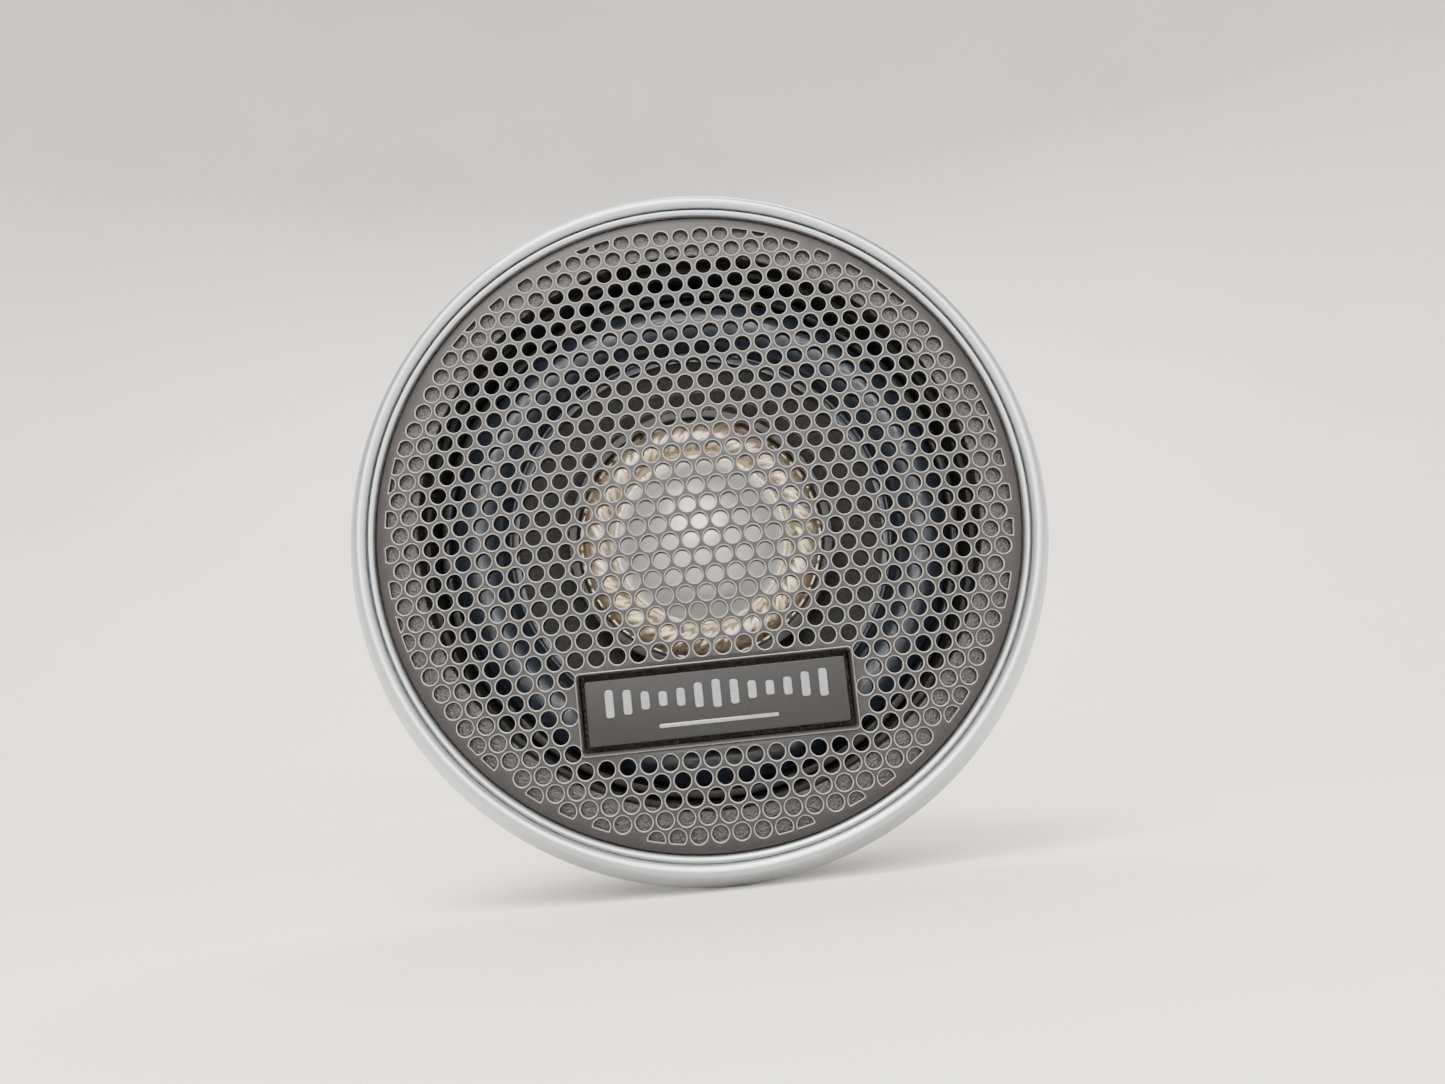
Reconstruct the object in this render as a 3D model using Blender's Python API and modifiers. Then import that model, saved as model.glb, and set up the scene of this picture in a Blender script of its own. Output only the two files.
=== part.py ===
# Round two-way car speaker with a grille: trim ring, domed grille, a cone
# driver with its motor, and a dome tweeter on a post in front of its pole.
#
# Frame: +Z up, the grille faces -Y. The origin is the centre of the panel
# seat, the plane of the trim ring's rear rim. Turned parts are written as
# outlines of (radius, depth) in millimetres, with depth growing rearwards.

import math

import bmesh
import bpy
from mathutils import Vector

for old in list(bpy.data.objects):
    bpy.data.objects.remove(old, do_unlink=True)

mm = 0.001
quarter = math.pi / 2

# ---------------------------------------------------------------- dimensions
gap = 0.3                   # air between pieces that touch

ring_radius = 41.75         # trim ring, outside
ring_crest_depth = -5.5     # front of its rounded band
ring_lip_radius = 37.9      # its opening, around the grille
channel_inner = 38.9        # rear channel for the foam
channel_outer = 40.4
channel_depth = -2.4        # bottom of the channel

grille_radius = 37.7
grille_apex_depth = -6.6
grille_bulge = 0.001625     # depth = apex + bulge * radius squared
grille_thickness = 1.2
grille_rim_radius = 32.9    # inside of the thick rim

badge_height = -20.9        # centre of the badge, below the axis
badge_frame_size = (31.5, 9.4)
badge_pocket_size = (30.6, 8.4)
badge_plate_size = (29.6, 7.4)
badge_plate_thickness = 0.6

flange_radius = 37.6        # basket
flange_depth = (0.1, 2.1)
barrel_inner = 32.3
barrel_outer = 33.7
seat_depth = 6.3            # ledge that the cone's surround rests on
seat_inner = 30.6
shelf_depth = 17.4          # ledge that the spider rests on
shelf_inner = 19.6
motor_depth = 20.6          # rear face that the motor sits against
collar_depth = 23.4
wall = 1.6

window_count = 12
window_length = 9.0
window_widths = (7.4, 5.4)  # at its outer and its inner end

clip_angles = (30, 150, 270)
screw_angles = (60, 180, 300)
screw_circle = 35.75
pad_radius = 35.4           # flat pads that the clips lie on
pad_width = 7.2
clip_width = 7.0
clip_thickness = 0.5
rivet_depth = 11.4

roll_inner = 24.0           # cone surround
roll_outer = 30.6
roll_depth = 5.55
roll_thickness = 0.45

neck_radius = 13.2          # cone, at the coil
neck_depth = 13.6
lip_radius = 22.8
lip_depth = 6.3

former_radius = 12.65       # coil of the cone, inside
former_thickness = 0.25
former_depth = (13.4, 25.6)
winding_depth = (19.2, 25.2)
pole_radius = 12.3
plate_bore = 14.1
plate_depth = (20.9, 24.4)
magnet_depth = (24.7, 32.7)
back_depth = (33.0, 36.5)

dome_radius = 10.4          # tweeter
dome_apex_depth = 3.4
dome_edge_depth = 6.9
film_outer = 16.2
film_roll = (10.8, 14.9)
housing_radius = 16.6
pot_radius = 11.7
pot_depth = (8.2, 14.3)
hollow_radius = 1.8         # hole through the tweeter's motor for its leads

post_radius = 2.6
post_bore = 1.4
post_end = 40.6
pole_bore = 3.0

board_depth = (13.7, 14.7)
board_span = (-13.0, 12.6)  # across
board_rise = (28.6, 36.0)   # up
board_screw_height = 31.4
socket_span = (-12.4, -1.9)
socket_rise = (28.7, 35.7)
socket_depth = (15.0, 25.0)
socket_wall = 1.0
pin_places = (-9.75, -4.55)
pin_height = 32.2
pin_side = 0.8
capacitor_radius = 3.15
capacitor_centre = (8.4, 32.2)
lead_radius = 0.4
lead_offset = 0.62          # the two leads lie this far each side of their middle

big_steps = 40              # sides of the large turned parts
mid_steps = 32
small_steps = 24

# ------------------------------------------------------------------ helpers
parts = bpy.data.collections.new("car_tweeter")
cutters = bpy.data.collections.new("cutters")
bpy.context.scene.collection.children.link(parts)
bpy.context.scene.collection.children.link(cutters)


def finish(name, colour, roughness, metallic=0.0):
    material = bpy.data.materials.new(name)
    material.use_nodes = True
    shader = material.node_tree.nodes["Principled BSDF"]
    shader.inputs["Base Color"].default_value = (*colour, 1.0)
    shader.inputs["Roughness"].default_value = roughness
    shader.inputs["Metallic"].default_value = metallic
    return material


finishes = {
    "silver_paint": finish("silver_paint", (0.62, 0.63, 0.65), 0.32, 0.6),
    "grille_plastic": finish("grille_plastic", (0.075, 0.068, 0.065), 0.55),
    "badge_gloss": finish("badge_gloss", (0.03, 0.028, 0.028), 0.25),
    "basket_plastic": finish("basket_plastic", (0.018, 0.018, 0.02), 0.5),
    "foam": finish("foam", (0.03, 0.03, 0.032), 0.95),
    "paper_cone": finish("paper_cone", (0.05, 0.05, 0.053), 0.85),
    "surround_rubber": finish("surround_rubber", (0.10, 0.12, 0.15), 0.35),
    "ring_plastic": finish("ring_plastic", (0.02, 0.02, 0.022), 0.3),
    "former_film": finish("former_film", (0.45, 0.25, 0.06), 0.4),
    "copper_wire": finish("copper_wire", (0.72, 0.30, 0.16), 0.35, 1.0),
    "spider_cloth": finish("spider_cloth", (0.55, 0.38, 0.12), 0.8),
    "plated_steel": finish("plated_steel", (0.60, 0.57, 0.48), 0.35, 1.0),
    "ferrite": finish("ferrite", (0.07, 0.07, 0.075), 0.7),
    "dome_metal": finish("dome_metal", (0.82, 0.81, 0.78), 0.28, 1.0),
    "champagne_film": finish("champagne_film", (0.66, 0.56, 0.38), 0.3, 0.3),
    "bright_magnet": finish("bright_magnet", (0.72, 0.72, 0.72), 0.25, 1.0),
    "felt": finish("felt", (0.16, 0.16, 0.17), 0.95),
    "zinc_steel": finish("zinc_steel", (0.66, 0.67, 0.68), 0.35, 1.0),
    "spring_steel": finish("spring_steel", (0.30, 0.30, 0.31), 0.35, 1.0),
    "board_laminate": finish("board_laminate", (0.42, 0.24, 0.10), 0.6),
    "connector_plastic": finish("connector_plastic", (0.03, 0.03, 0.03), 0.4),
    "tin_plate": finish("tin_plate", (0.75, 0.74, 0.70), 0.3, 1.0),
    "capacitor_sleeve": finish("capacitor_sleeve", (0.03, 0.06, 0.16), 0.35),
    "tinsel_braid": finish("tinsel_braid", (0.70, 0.42, 0.24), 0.45, 0.8),
    "red_wire": finish("red_wire", (0.45, 0.03, 0.03), 0.4),
    "black_wire": finish("black_wire", (0.02, 0.02, 0.02), 0.4),
}


def new_object(name, mesh, finish_name=None, collection=parts):
    obj = bpy.data.objects.new(name, mesh)
    collection.objects.link(obj)
    if finish_name and not mesh.materials:
        mesh.materials.append(finishes[finish_name])
    return obj


def hide_cutter(obj):
    obj.hide_render = True
    obj.display_type = "WIRE"
    return obj


def outline_mesh(name, points, closed):
    # Points are (radius, height) in millimetres, outer side first, downwards.
    mesh = bpy.data.meshes.new(name)
    corners = [(radius * mm, 0.0, height * mm) for radius, height in points]
    edges = [(i, i + 1) for i in range(len(corners) - 1)]
    if closed:
        edges.append((len(corners) - 1, 0))
    mesh.from_pydata(corners, edges, [])
    return mesh


def add_screw(obj, steps):
    turn = obj.modifiers.new("turn", "SCREW")
    turn.axis = "Z"
    turn.steps = steps
    turn.render_steps = steps
    turn.use_merge_vertices = True
    turn.merge_threshold = 0.00001
    turn.use_smooth_shade = True


def turned(name, outline, finish_name, steps=mid_steps, collection=parts):
    # A part turned about the Y axis. Its outline is (radius, depth), from the
    # front along the outer side to the rear, then back along the inside.
    on_axis = outline[0][0] == 0
    points = [(radius, -depth) for radius, depth in outline]
    mesh = outline_mesh(name, points, not on_axis)
    obj = new_object(name, mesh, finish_name, collection)
    obj.rotation_euler = (quarter, 0, 0)
    add_screw(obj, steps)
    return obj


def sleeve(name, inner, outer, depths, finish_name, steps=mid_steps):
    front, rear = depths
    outline = [(outer, front), (outer, rear), (inner, rear), (inner, front)]
    return turned(name, outline, finish_name, steps)


def box_mesh(name, low, high):
    # A box between two corners, in millimetres.
    middle = [(a + b) / 2 * mm for a, b in zip(low, high)]
    size = [(b - a) * mm for a, b in zip(low, high)]
    shape = bmesh.new()
    bmesh.ops.create_cube(shape, size=1.0)
    bmesh.ops.scale(shape, vec=size, verts=shape.verts)
    bmesh.ops.translate(shape, vec=middle, verts=shape.verts)
    mesh = bpy.data.meshes.new(name)
    shape.to_mesh(mesh)
    shape.free()
    return mesh


def box(name, low, high, finish_name=None, collection=parts):
    return new_object(name, box_mesh(name, low, high), finish_name, collection)


def cutter_box(name, low, high):
    return hide_cutter(box(name, low, high, None, cutters))


def cutter_rod(name, radius, low, high, steps=12):
    # A rod along local Z, from height low to height high.
    shape = bmesh.new()
    bmesh.ops.create_cone(
        shape, cap_ends=True, segments=steps,
        radius1=radius * mm, radius2=radius * mm, depth=(high - low) * mm)
    bmesh.ops.translate(shape, vec=(0, 0, (low + high) / 2 * mm), verts=shape.verts)
    mesh = bpy.data.meshes.new(name)
    shape.to_mesh(mesh)
    shape.free()
    return hide_cutter(new_object(name, mesh, None, cutters))


def cutter_prism(name, outline, half_width):
    # A flat outline of (x, y) corners, thickened to both sides along local Z.
    shape = bmesh.new()
    lower = [shape.verts.new((x * mm, y * mm, -half_width * mm)) for x, y in outline]
    face = shape.faces.new(lower)
    swept = bmesh.ops.extrude_face_region(shape, geom=[face])
    raised = [item for item in swept["geom"] if isinstance(item, bmesh.types.BMVert)]
    bmesh.ops.translate(shape, vec=(0, 0, 2 * half_width * mm), verts=raised)
    bmesh.ops.recalc_face_normals(shape, faces=shape.faces)
    mesh = bpy.data.meshes.new(name)
    shape.to_mesh(mesh)
    shape.free()
    return hide_cutter(new_object(name, mesh, None, cutters))


def boolean(obj, cutter, operation="DIFFERENCE"):
    step = obj.modifiers.new(cutter.name, "BOOLEAN")
    step.operation = operation
    step.object = cutter
    step.solver = "EXACT"


def turn_to(obj, degrees):
    # Local X becomes the outward direction at this angle, local Y stays rearward.
    obj.rotation_euler = (0, -math.radians(degrees), 0)
    return obj


def point_outwards(obj, degrees, depth):
    # Local Z becomes the outward direction at this angle.
    obj.rotation_euler = (0, quarter - math.radians(degrees), 0)
    obj.location = (0, depth * mm, 0)
    return obj


def on_circle(degrees, radius):
    angle = math.radians(degrees)
    return radius * math.cos(angle), radius * math.sin(angle)


def arc(centre, radius, start, end, count):
    # Points (radius, depth) on an arc; 90 degrees is the side facing the grille.
    points = []
    for i in range(count + 1):
        angle = math.radians(start + (end - start) * i / count)
        points.append((centre[0] + radius * math.cos(angle),
                       centre[1] - radius * math.sin(angle)))
    return points


def smooth_route(points, per_span):
    # A curve through every point, with each bend shared by its neighbours.
    padded = [points[0]] + list(points) + [points[-1]]
    route = []
    for a, b, c, d in zip(padded, padded[1:], padded[2:], padded[3:]):
        a, b, c, d = Vector(a), Vector(b), Vector(c), Vector(d)
        for i in range(per_span):
            t = i / per_span
            route.append(0.5 * (2 * b + (c - a) * t
                                + (2 * a - 5 * b + 4 * c - d) * t ** 2
                                + (3 * b - a - 3 * c + d) * t ** 3))
    route.append(Vector(points[-1]))
    return route


def wire(name, points, radius, finish_name, per_span=3):
    curve = bpy.data.curves.new(name, "CURVE")
    curve.dimensions = "3D"
    curve.bevel_depth = radius * mm
    curve.bevel_resolution = 2
    curve.use_fill_caps = True
    route = smooth_route(points, per_span)
    spline = curve.splines.new("POLY")
    spline.points.add(len(route) - 1)
    for point, place in zip(spline.points, route):
        point.co = (*(place * mm), 1.0)
    curve.materials.append(finishes[finish_name])
    obj = bpy.data.objects.new(name, curve)
    parts.objects.link(obj)
    return obj


# -------------------------------------------------------------- front pieces
def grille_front(radius):
    return grille_apex_depth + grille_bulge * radius ** 2


def make_trim_ring():
    lip = ring_lip_radius
    outline = [
        (lip, -4.7), (lip + 0.25, -5.0), (lip + 0.5, -4.55), (lip + 0.75, -4.95),
        (lip + 1.0, -4.9), (39.1, -5.3), (39.5, ring_crest_depth), (40.0, -5.15),
        (40.4, -4.4), (40.9, -3.3), (41.35, -2.0), (41.65, -1.0), (ring_radius, -0.3),
        (ring_radius, 0.0), (channel_outer, 0.0), (channel_outer, channel_depth),
        (channel_inner, channel_depth),
        (channel_inner, -0.2), (37.0, -0.2), (37.0, -1.4), (lip, -1.4),
    ]
    turned("trim_ring", outline, "silver_paint", big_steps)


def make_panel_gasket():
    inner = channel_inner + gap
    outer = channel_outer - gap
    sleeve("panel_gasket", inner, outer, (channel_depth + gap, 1.4), "foam", big_steps)


def badge_tilt():
    # The badge follows the slope of the domed grille at its own height.
    return math.atan(2 * grille_bulge * abs(badge_height))


def badge_block(name, size, front, rear, finish_name, collection):
    # A plate lying along the grille's slope; front and rear are depths from its face.
    width, height = size
    low = (-width / 2, front, -height / 2)
    high = (width / 2, rear, height / 2)
    block = box(name, low, high, finish_name, collection)
    block.location = (0, grille_front(badge_height) * mm, badge_height * mm)
    block.rotation_euler = (badge_tilt(), 0, 0)
    return block


def make_grille():
    steps = 5
    front = [(grille_radius * i / steps) for i in range(steps + 1)]
    back = [(grille_rim_radius * i / (steps - 1)) for i in range(steps)]
    outline = [(radius, grille_front(radius)) for radius in front]
    outline += [(grille_radius, -1.7), (36.7, -1.7), (36.7, -0.2), (grille_rim_radius, -0.2)]
    outline += [(radius, grille_front(radius) + grille_thickness) for radius in reversed(back)]
    grille = turned("grille", outline, "grille_plastic", big_steps)
    frame = badge_block("badge_frame", badge_frame_size, -0.35, 2.0, None, cutters)
    pocket = badge_block("badge_pocket", badge_pocket_size, -2.0, 0.95, None, cutters)
    boolean(grille, hide_cutter(frame), "UNION")
    boolean(grille, hide_cutter(pocket))
    for number, degrees in enumerate(screw_angles, 1):
        x, z = on_circle(degrees, screw_circle)
        hole = cutter_rod(f"grille_hole_{number}", 1.25, -4.0, 3.5)
        hole.rotation_euler = (quarter, 0, 0)
        hole.location = (x * mm, 0, z * mm)
        boolean(grille, hole)
    plate_rear = 0.95 - gap
    badge_block("badge_plate", badge_plate_size, plate_rear - badge_plate_thickness,
                plate_rear, "badge_gloss", parts)


# -------------------------------------------------------------------- basket
def cone_wall(depth, inset=0.0):
    # The basket's 45 degree wall, at this depth.
    return barrel_outer + 7.9 - inset * math.sqrt(2) - depth


def window_cutter(number):
    # A keystone block through the sloping wall, its length down the slope.
    degrees = (number + 0.5) * 360 / window_count
    shape = bmesh.new()
    bmesh.ops.create_cube(shape, size=1.0)
    size = (window_length * mm, 7.0 * mm, window_widths[0] * mm)
    bmesh.ops.scale(shape, vec=size, verts=shape.verts)
    narrow = window_widths[1] / window_widths[0]
    for corner in shape.verts:
        if corner.co.x < 0:
            corner.co.z *= narrow
    mesh = bpy.data.meshes.new("window")
    shape.to_mesh(mesh)
    shape.free()
    cutter = new_object(f"window_{number + 1}", mesh, None, cutters)
    middle_depth = 12.2
    radius = cone_wall(middle_depth, wall / 2)
    angle = math.radians(degrees)
    cutter.rotation_mode = "ZYX"     # down the slope first, then round the axis
    cutter.rotation_euler = (0, -angle, -math.pi / 4)
    cutter.location = (radius * math.cos(angle) * mm, middle_depth * mm,
                       radius * math.sin(angle) * mm)
    return hide_cutter(cutter)


def pad_block(name, degrees, outer, front, rear):
    # A buttress that stands on the sloping wall and ends in a flat pad.
    root = cone_wall(rear, wall * 0.3)
    outline = [(33.0, front), (outer, front), (outer, rear), (root, rear), (33.0, 8.3)]
    return turn_to(cutter_prism(name, outline, pad_width / 2), degrees)


def make_basket():
    outline = [
        (flange_radius, flange_depth[0]), (flange_radius, flange_depth[1]),
        (barrel_outer, flange_depth[1]), (barrel_outer, 7.9),
        (cone_wall(17.0), 17.0), (24.9, collar_depth), (23.3, collar_depth),
        (23.3, motor_depth), (shelf_inner, motor_depth), (shelf_inner, shelf_depth),
        (cone_wall(shelf_depth, wall), shelf_depth), (cone_wall(7.8, wall), 7.8),
        (seat_inner, 7.8), (seat_inner, seat_depth), (barrel_inner, seat_depth),
        (barrel_inner, flange_depth[0]),
    ]
    basket = turned("basket", outline, "basket_plastic", big_steps)
    for number, degrees in enumerate(clip_angles, 1):
        pad = pad_block(f"clip_pad_{number}", degrees, pad_radius, 1.6, 14.8)
        boolean(basket, pad, "UNION")
    boss = pad_block("board_boss", 90, 34.6, 5.0, 13.4)
    boolean(basket, boss, "UNION")
    for number in range(window_count):
        boolean(basket, window_cutter(number))
    for number, degrees in enumerate(clip_angles, 1):
        hole = cutter_rod(f"rivet_hole_{number}", 1.4, 32.8, 37.0)
        boolean(basket, point_outwards(hole, degrees, rivet_depth))
    for number, degrees in enumerate(screw_angles, 1):
        x, z = on_circle(degrees, screw_circle)
        hole = cutter_rod(f"flange_hole_{number}", 1.3, -3.0, 1.0)
        hole.rotation_euler = (quarter, 0, 0)
        hole.location = (x * mm, 0, z * mm)
        boolean(basket, hole)
    hole = cutter_rod("board_screw_hole", 1.1, -14.0, -9.8)
    hole.rotation_euler = (quarter, 0, 0)
    hole.location = (0, 0, board_screw_height * mm)
    boolean(basket, hole)


# ------------------------------------------------------------ cone and motor
def make_cone():
    outline = [
        (neck_radius, neck_depth), (18.0, 10.2), (lip_radius, lip_depth), (24.2, lip_depth),
        (24.2, lip_depth + 0.5), (lip_radius + 0.3, lip_depth + 0.55), (18.3, 10.75),
        (neck_radius + 0.4, neck_depth + 0.6), (neck_radius, neck_depth + 0.6),
    ]
    turned("cone", outline, "paper_cone", mid_steps)


def make_cone_surround():
    centre = ((roll_inner + roll_outer) / 2, roll_depth)
    crest = (roll_outer - roll_inner) / 2
    under = crest - roll_thickness
    outline = [(22.7, roll_depth)]
    outline += arc(centre, crest, 180, 0, 7)
    outline += [(barrel_inner - gap, roll_depth), (barrel_inner - gap, roll_depth + 0.45)]
    outline += [(centre[0] + under, roll_depth + 0.45)]
    outline += arc(centre, under, 0, 180, 5)
    outline += [(centre[0] - under, roll_depth + 0.45), (22.7, roll_depth + 0.45)]
    turned("cone_surround", outline, "surround_rubber", mid_steps)
    sleeve("surround_clamp_ring", 30.8, barrel_inner - gap, (4.2, 5.25), "ring_plastic")


def make_coil():
    outer = former_radius + former_thickness
    sleeve("coil_former", former_radius, outer, former_depth, "former_film")
    sleeve("coil_winding", outer + gap, outer + gap + 0.55, winding_depth, "copper_wire")


def make_spider():
    # A ring of cloth pressed into waves that die out at its flat flange.
    start, flat, outer = 14.0, 20.0, 21.6
    waves = 2
    count = 8
    front, rear = [(neck_radius, 16.8)], []
    for i in range(count + 1):
        radius = start + (flat - start) * i / count
        depth = 16.8 + 0.5 * math.sin(waves * 2 * math.pi * i / count)
        front.append((radius, depth))
        rear.append((radius, depth + gap))
    front.append((outer, 16.8))
    rear.append((outer, 17.1))
    outline = front + rear[::-1] + [(neck_radius, 17.1)]
    turned("spider", outline, "spider_cloth", small_steps)


def make_motor():
    sleeve("front_plate", plate_bore, 23.0, plate_depth, "plated_steel")
    sleeve("magnet_ring", 15.5, 24.6, magnet_depth, "ferrite", mid_steps)
    front, rear = back_depth
    outline = [
        (pole_radius, motor_depth), (pole_radius, 32.2), (pole_radius + 0.8, front),
        (22.8, front), (22.8, rear - 0.8), (22.0, rear), (pole_bore, rear),
        (pole_bore, motor_depth),
    ]
    turned("yoke", outline, "plated_steel")


# ------------------------------------------------------------------- tweeter
def dome_depth(radius, inset=0.0):
    rise = dome_edge_depth - dome_apex_depth
    ball = (dome_radius ** 2 + rise ** 2) / (2 * rise)
    inner_ball = ball - inset
    return dome_apex_depth + ball - math.sqrt(inner_ball ** 2 - radius ** 2)


def make_tweeter_diaphragm():
    steps = 5
    radii = [dome_radius * i / steps for i in range(steps + 1)]
    outline = [(radius, dome_depth(radius)) for radius in radii]
    under = [radius * 0.97 for radius in reversed(radii)]
    outline += [(radius, dome_depth(radius, 0.25)) for radius in under]
    turned("tweeter_dome", outline, "dome_metal", small_steps)

    inner, outer = film_roll
    centre = ((inner + outer) / 2, 8.0)
    reach = math.hypot(outer - centre[0], centre[1] - 7.0)
    start = math.degrees(math.asin((centre[1] - 7.0) / reach))
    outline = arc(centre, reach, 180 - start, start, 5)
    outline += [(film_outer, 7.0), (film_outer, 7.2)]
    outline += arc(centre, reach - 0.2, start, 180 - start, 5)
    turned("tweeter_surround", outline, "champagne_film", small_steps)

    sleeve("tweeter_coil", 9.75, 10.25, (7.25, 10.6), "copper_wire", small_steps)


def make_tweeter_body():
    sleeve("tweeter_face_ring", 15.1, housing_radius, (5.8, 6.7), "ring_plastic")
    outline = [
        (housing_radius, 7.5), (housing_radius, 8.4), (13.4, 9.8),
        (pot_radius + gap, 9.8), (pot_radius + gap, 7.5),
    ]
    turned("tweeter_housing", outline, "basket_plastic")
    front, rear = pot_depth
    outline = [
        (pot_radius, front), (pot_radius, rear), (hollow_radius, rear),
        (hollow_radius, rear - 1.5), (10.6, rear - 1.5), (10.6, front),
    ]
    turned("tweeter_yoke", outline, "zinc_steel", small_steps)
    sleeve("tweeter_magnet", hollow_radius, 8.4, (10.0, 12.5), "bright_magnet", small_steps)
    sleeve("tweeter_pole_plate", hollow_radius, 9.4, (8.2, 9.7), "zinc_steel", small_steps)
    outline = [(0, 6.9), (8.0, 6.9), (8.0, 7.9), (0, 7.9)]
    turned("tweeter_damping_pad", outline, "felt", small_steps)


def make_post():
    outline = [
        (5.0, 14.6), (5.0, 15.6), (post_radius, 15.6), (post_radius, post_end),
        (post_bore, post_end), (post_bore, 14.6),
    ]
    turned("tweeter_post", outline, "zinc_steel", 16)
    sleeve("tweeter_spacer", pole_bore, 6.0, (15.9, 20.3), "basket_plastic", 16)
    sleeve("post_washer", pole_bore, 5.6, (36.8, 37.4), "zinc_steel", 20)
    # A six-sided bore clears the round post at the middle of its flats.
    bore = (post_radius + gap) / math.cos(math.pi / 6)
    nut = sleeve("post_nut", bore, 4.6, (37.7, 39.9), "zinc_steel", 6)
    nut.rotation_euler = (quarter, math.pi / 6, 0)


# ----------------------------------------------------------------- fasteners
def make_chassis_screws():
    outline = [
        (0, -3.2), (0.5, -3.2), (0.9, -2.6), (0.9, 2.4), (1.7, 2.4), (1.7, 3.4),
        (1.3, 3.9), (0.8, 3.9), (0.8, 3.2), (0, 3.2),
    ]
    for number, degrees in enumerate(screw_angles, 1):
        x, z = on_circle(degrees, screw_circle)
        screw = turned(f"chassis_screw_{number}", outline, "zinc_steel", 12)
        screw.location = (x * mm, 0, z * mm)


def clip_mesh():
    # A strip bent in the plane of (radius, depth), then given its thickness.
    middle = pad_radius + gap + clip_thickness / 2
    bends = [(middle, 14.2), (middle, 8.6), (39.35, 4.9), (39.2, 4.2), (37.6, 3.35)]
    shape = bmesh.new()
    rows = []
    for side in (-clip_width / 2, clip_width / 2):
        rows.append([shape.verts.new((x * mm, y * mm, side * mm)) for x, y in bends])
    for i in range(len(bends) - 1):
        shape.faces.new((rows[0][i], rows[0][i + 1], rows[1][i + 1], rows[1][i]))
    mesh = bpy.data.meshes.new("retaining_clip")
    shape.to_mesh(mesh)
    shape.free()
    mesh.materials.append(finishes["spring_steel"])
    return mesh


def make_clips():
    mesh = clip_mesh()
    rivet_outline = [(0, 1.1), (1.4, 1.1), (2.1, 0.5), (2.1, 0.0), (1.0, 0.0), (1.0, -3.3), (0, -3.3)]
    for number, degrees in enumerate(clip_angles, 1):
        clip = turn_to(new_object(f"retaining_clip_{number}", mesh), degrees)
        thicken = clip.modifiers.new("thickness", "SOLIDIFY")
        thicken.thickness = clip_thickness * mm
        thicken.offset = 0.0
        hole = cutter_rod(f"clip_hole_{number}", 1.4, 34.0, 37.5)
        boolean(clip, point_outwards(hole, degrees, rivet_depth))

        base = pad_radius + 2 * gap + clip_thickness
        points = [(radius, base + height) for radius, height in rivet_outline]
        rivet_mesh = outline_mesh("clip_rivet", points, False)
        rivet = new_object(f"clip_rivet_{number}", rivet_mesh, "zinc_steel")
        add_screw(rivet, 12)
        point_outwards(rivet, degrees, rivet_depth)


# ---------------------------------------------------------------- connection
def make_terminal_board():
    low = (board_span[0], board_depth[0], board_rise[0])
    high = (board_span[1], board_depth[1], board_rise[1])
    board = box("terminal_board", low, high, "board_laminate")
    for number, x in enumerate(pin_places, 1):
        reach = pin_side / 2 + gap
        hole = cutter_box(f"board_pin_hole_{number}", (x - reach, 13.0, pin_height - reach),
                          (x + reach, 16.6, pin_height + reach))
        boolean(board, hole)
    hole = cutter_rod("board_hole", 1.1, -15.0, -13.0)
    hole.rotation_euler = (quarter, 0, 0)
    hole.location = (0, 0, board_screw_height * mm)
    boolean(board, hole)
    for number, side in enumerate((1, -1), 1):
        trim = cutter_box(f"board_corner_{number}", (-2, 13, -2), (2, 16, 2))
        trim.rotation_euler = (0, math.pi / 4, 0)
        x = board_span[1] if side > 0 else board_span[0]
        trim.location = (x * mm, 0, (board_rise[1] + 0.4) * mm)
        boolean(board, trim)


def make_board_screw():
    # Its tip bites the boss on the basket.
    outline = [
        (0, 10.2), (0.8, 10.8), (0.8, 15.0), (1.5, 15.0), (1.5, 15.9), (0, 15.9),
    ]
    screw = turned("board_screw", outline, "zinc_steel", 12)
    screw.location = (0, 0, board_screw_height * mm)


def make_connector():
    low = (socket_span[0], socket_depth[0], socket_rise[0])
    high = (socket_span[1], socket_depth[1], socket_rise[1])
    housing = box("connector_housing", low, high, "connector_plastic")
    inside_low = (low[0] + socket_wall, low[1] + 1.4, low[2] + socket_wall)
    inside_high = (high[0] - socket_wall, high[1] + 2.0, high[2] - socket_wall)
    boolean(housing, cutter_box("socket_inside", inside_low, inside_high))
    for number, x in enumerate(pin_places, 1):
        reach = pin_side / 2 + gap
        hole = cutter_box(f"socket_pin_hole_{number}", (x - reach, 14.0, pin_height - reach),
                          (x + reach, 17.0, pin_height + reach))
        boolean(housing, hole)
        half = pin_side / 2
        box(f"terminal_pin_{number}", (x - half, 12.2, pin_height - half),
            (x + half, 22.5, pin_height + half), "tin_plate")


def make_capacitor():
    radius = capacitor_radius
    outline = [
        (0, 15.0), (radius, 15.0), (radius, 16.2), (radius - 0.35, 16.6), (radius - 0.35, 16.9),
        (radius, 17.3), (radius, 25.2), (radius - 0.4, 25.6), (0, 25.6),
    ]
    can = turned("capacitor", outline, "capacitor_sleeve", 16)
    can.location = (capacitor_centre[0] * mm, 0, capacitor_centre[1] * mm)


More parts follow.
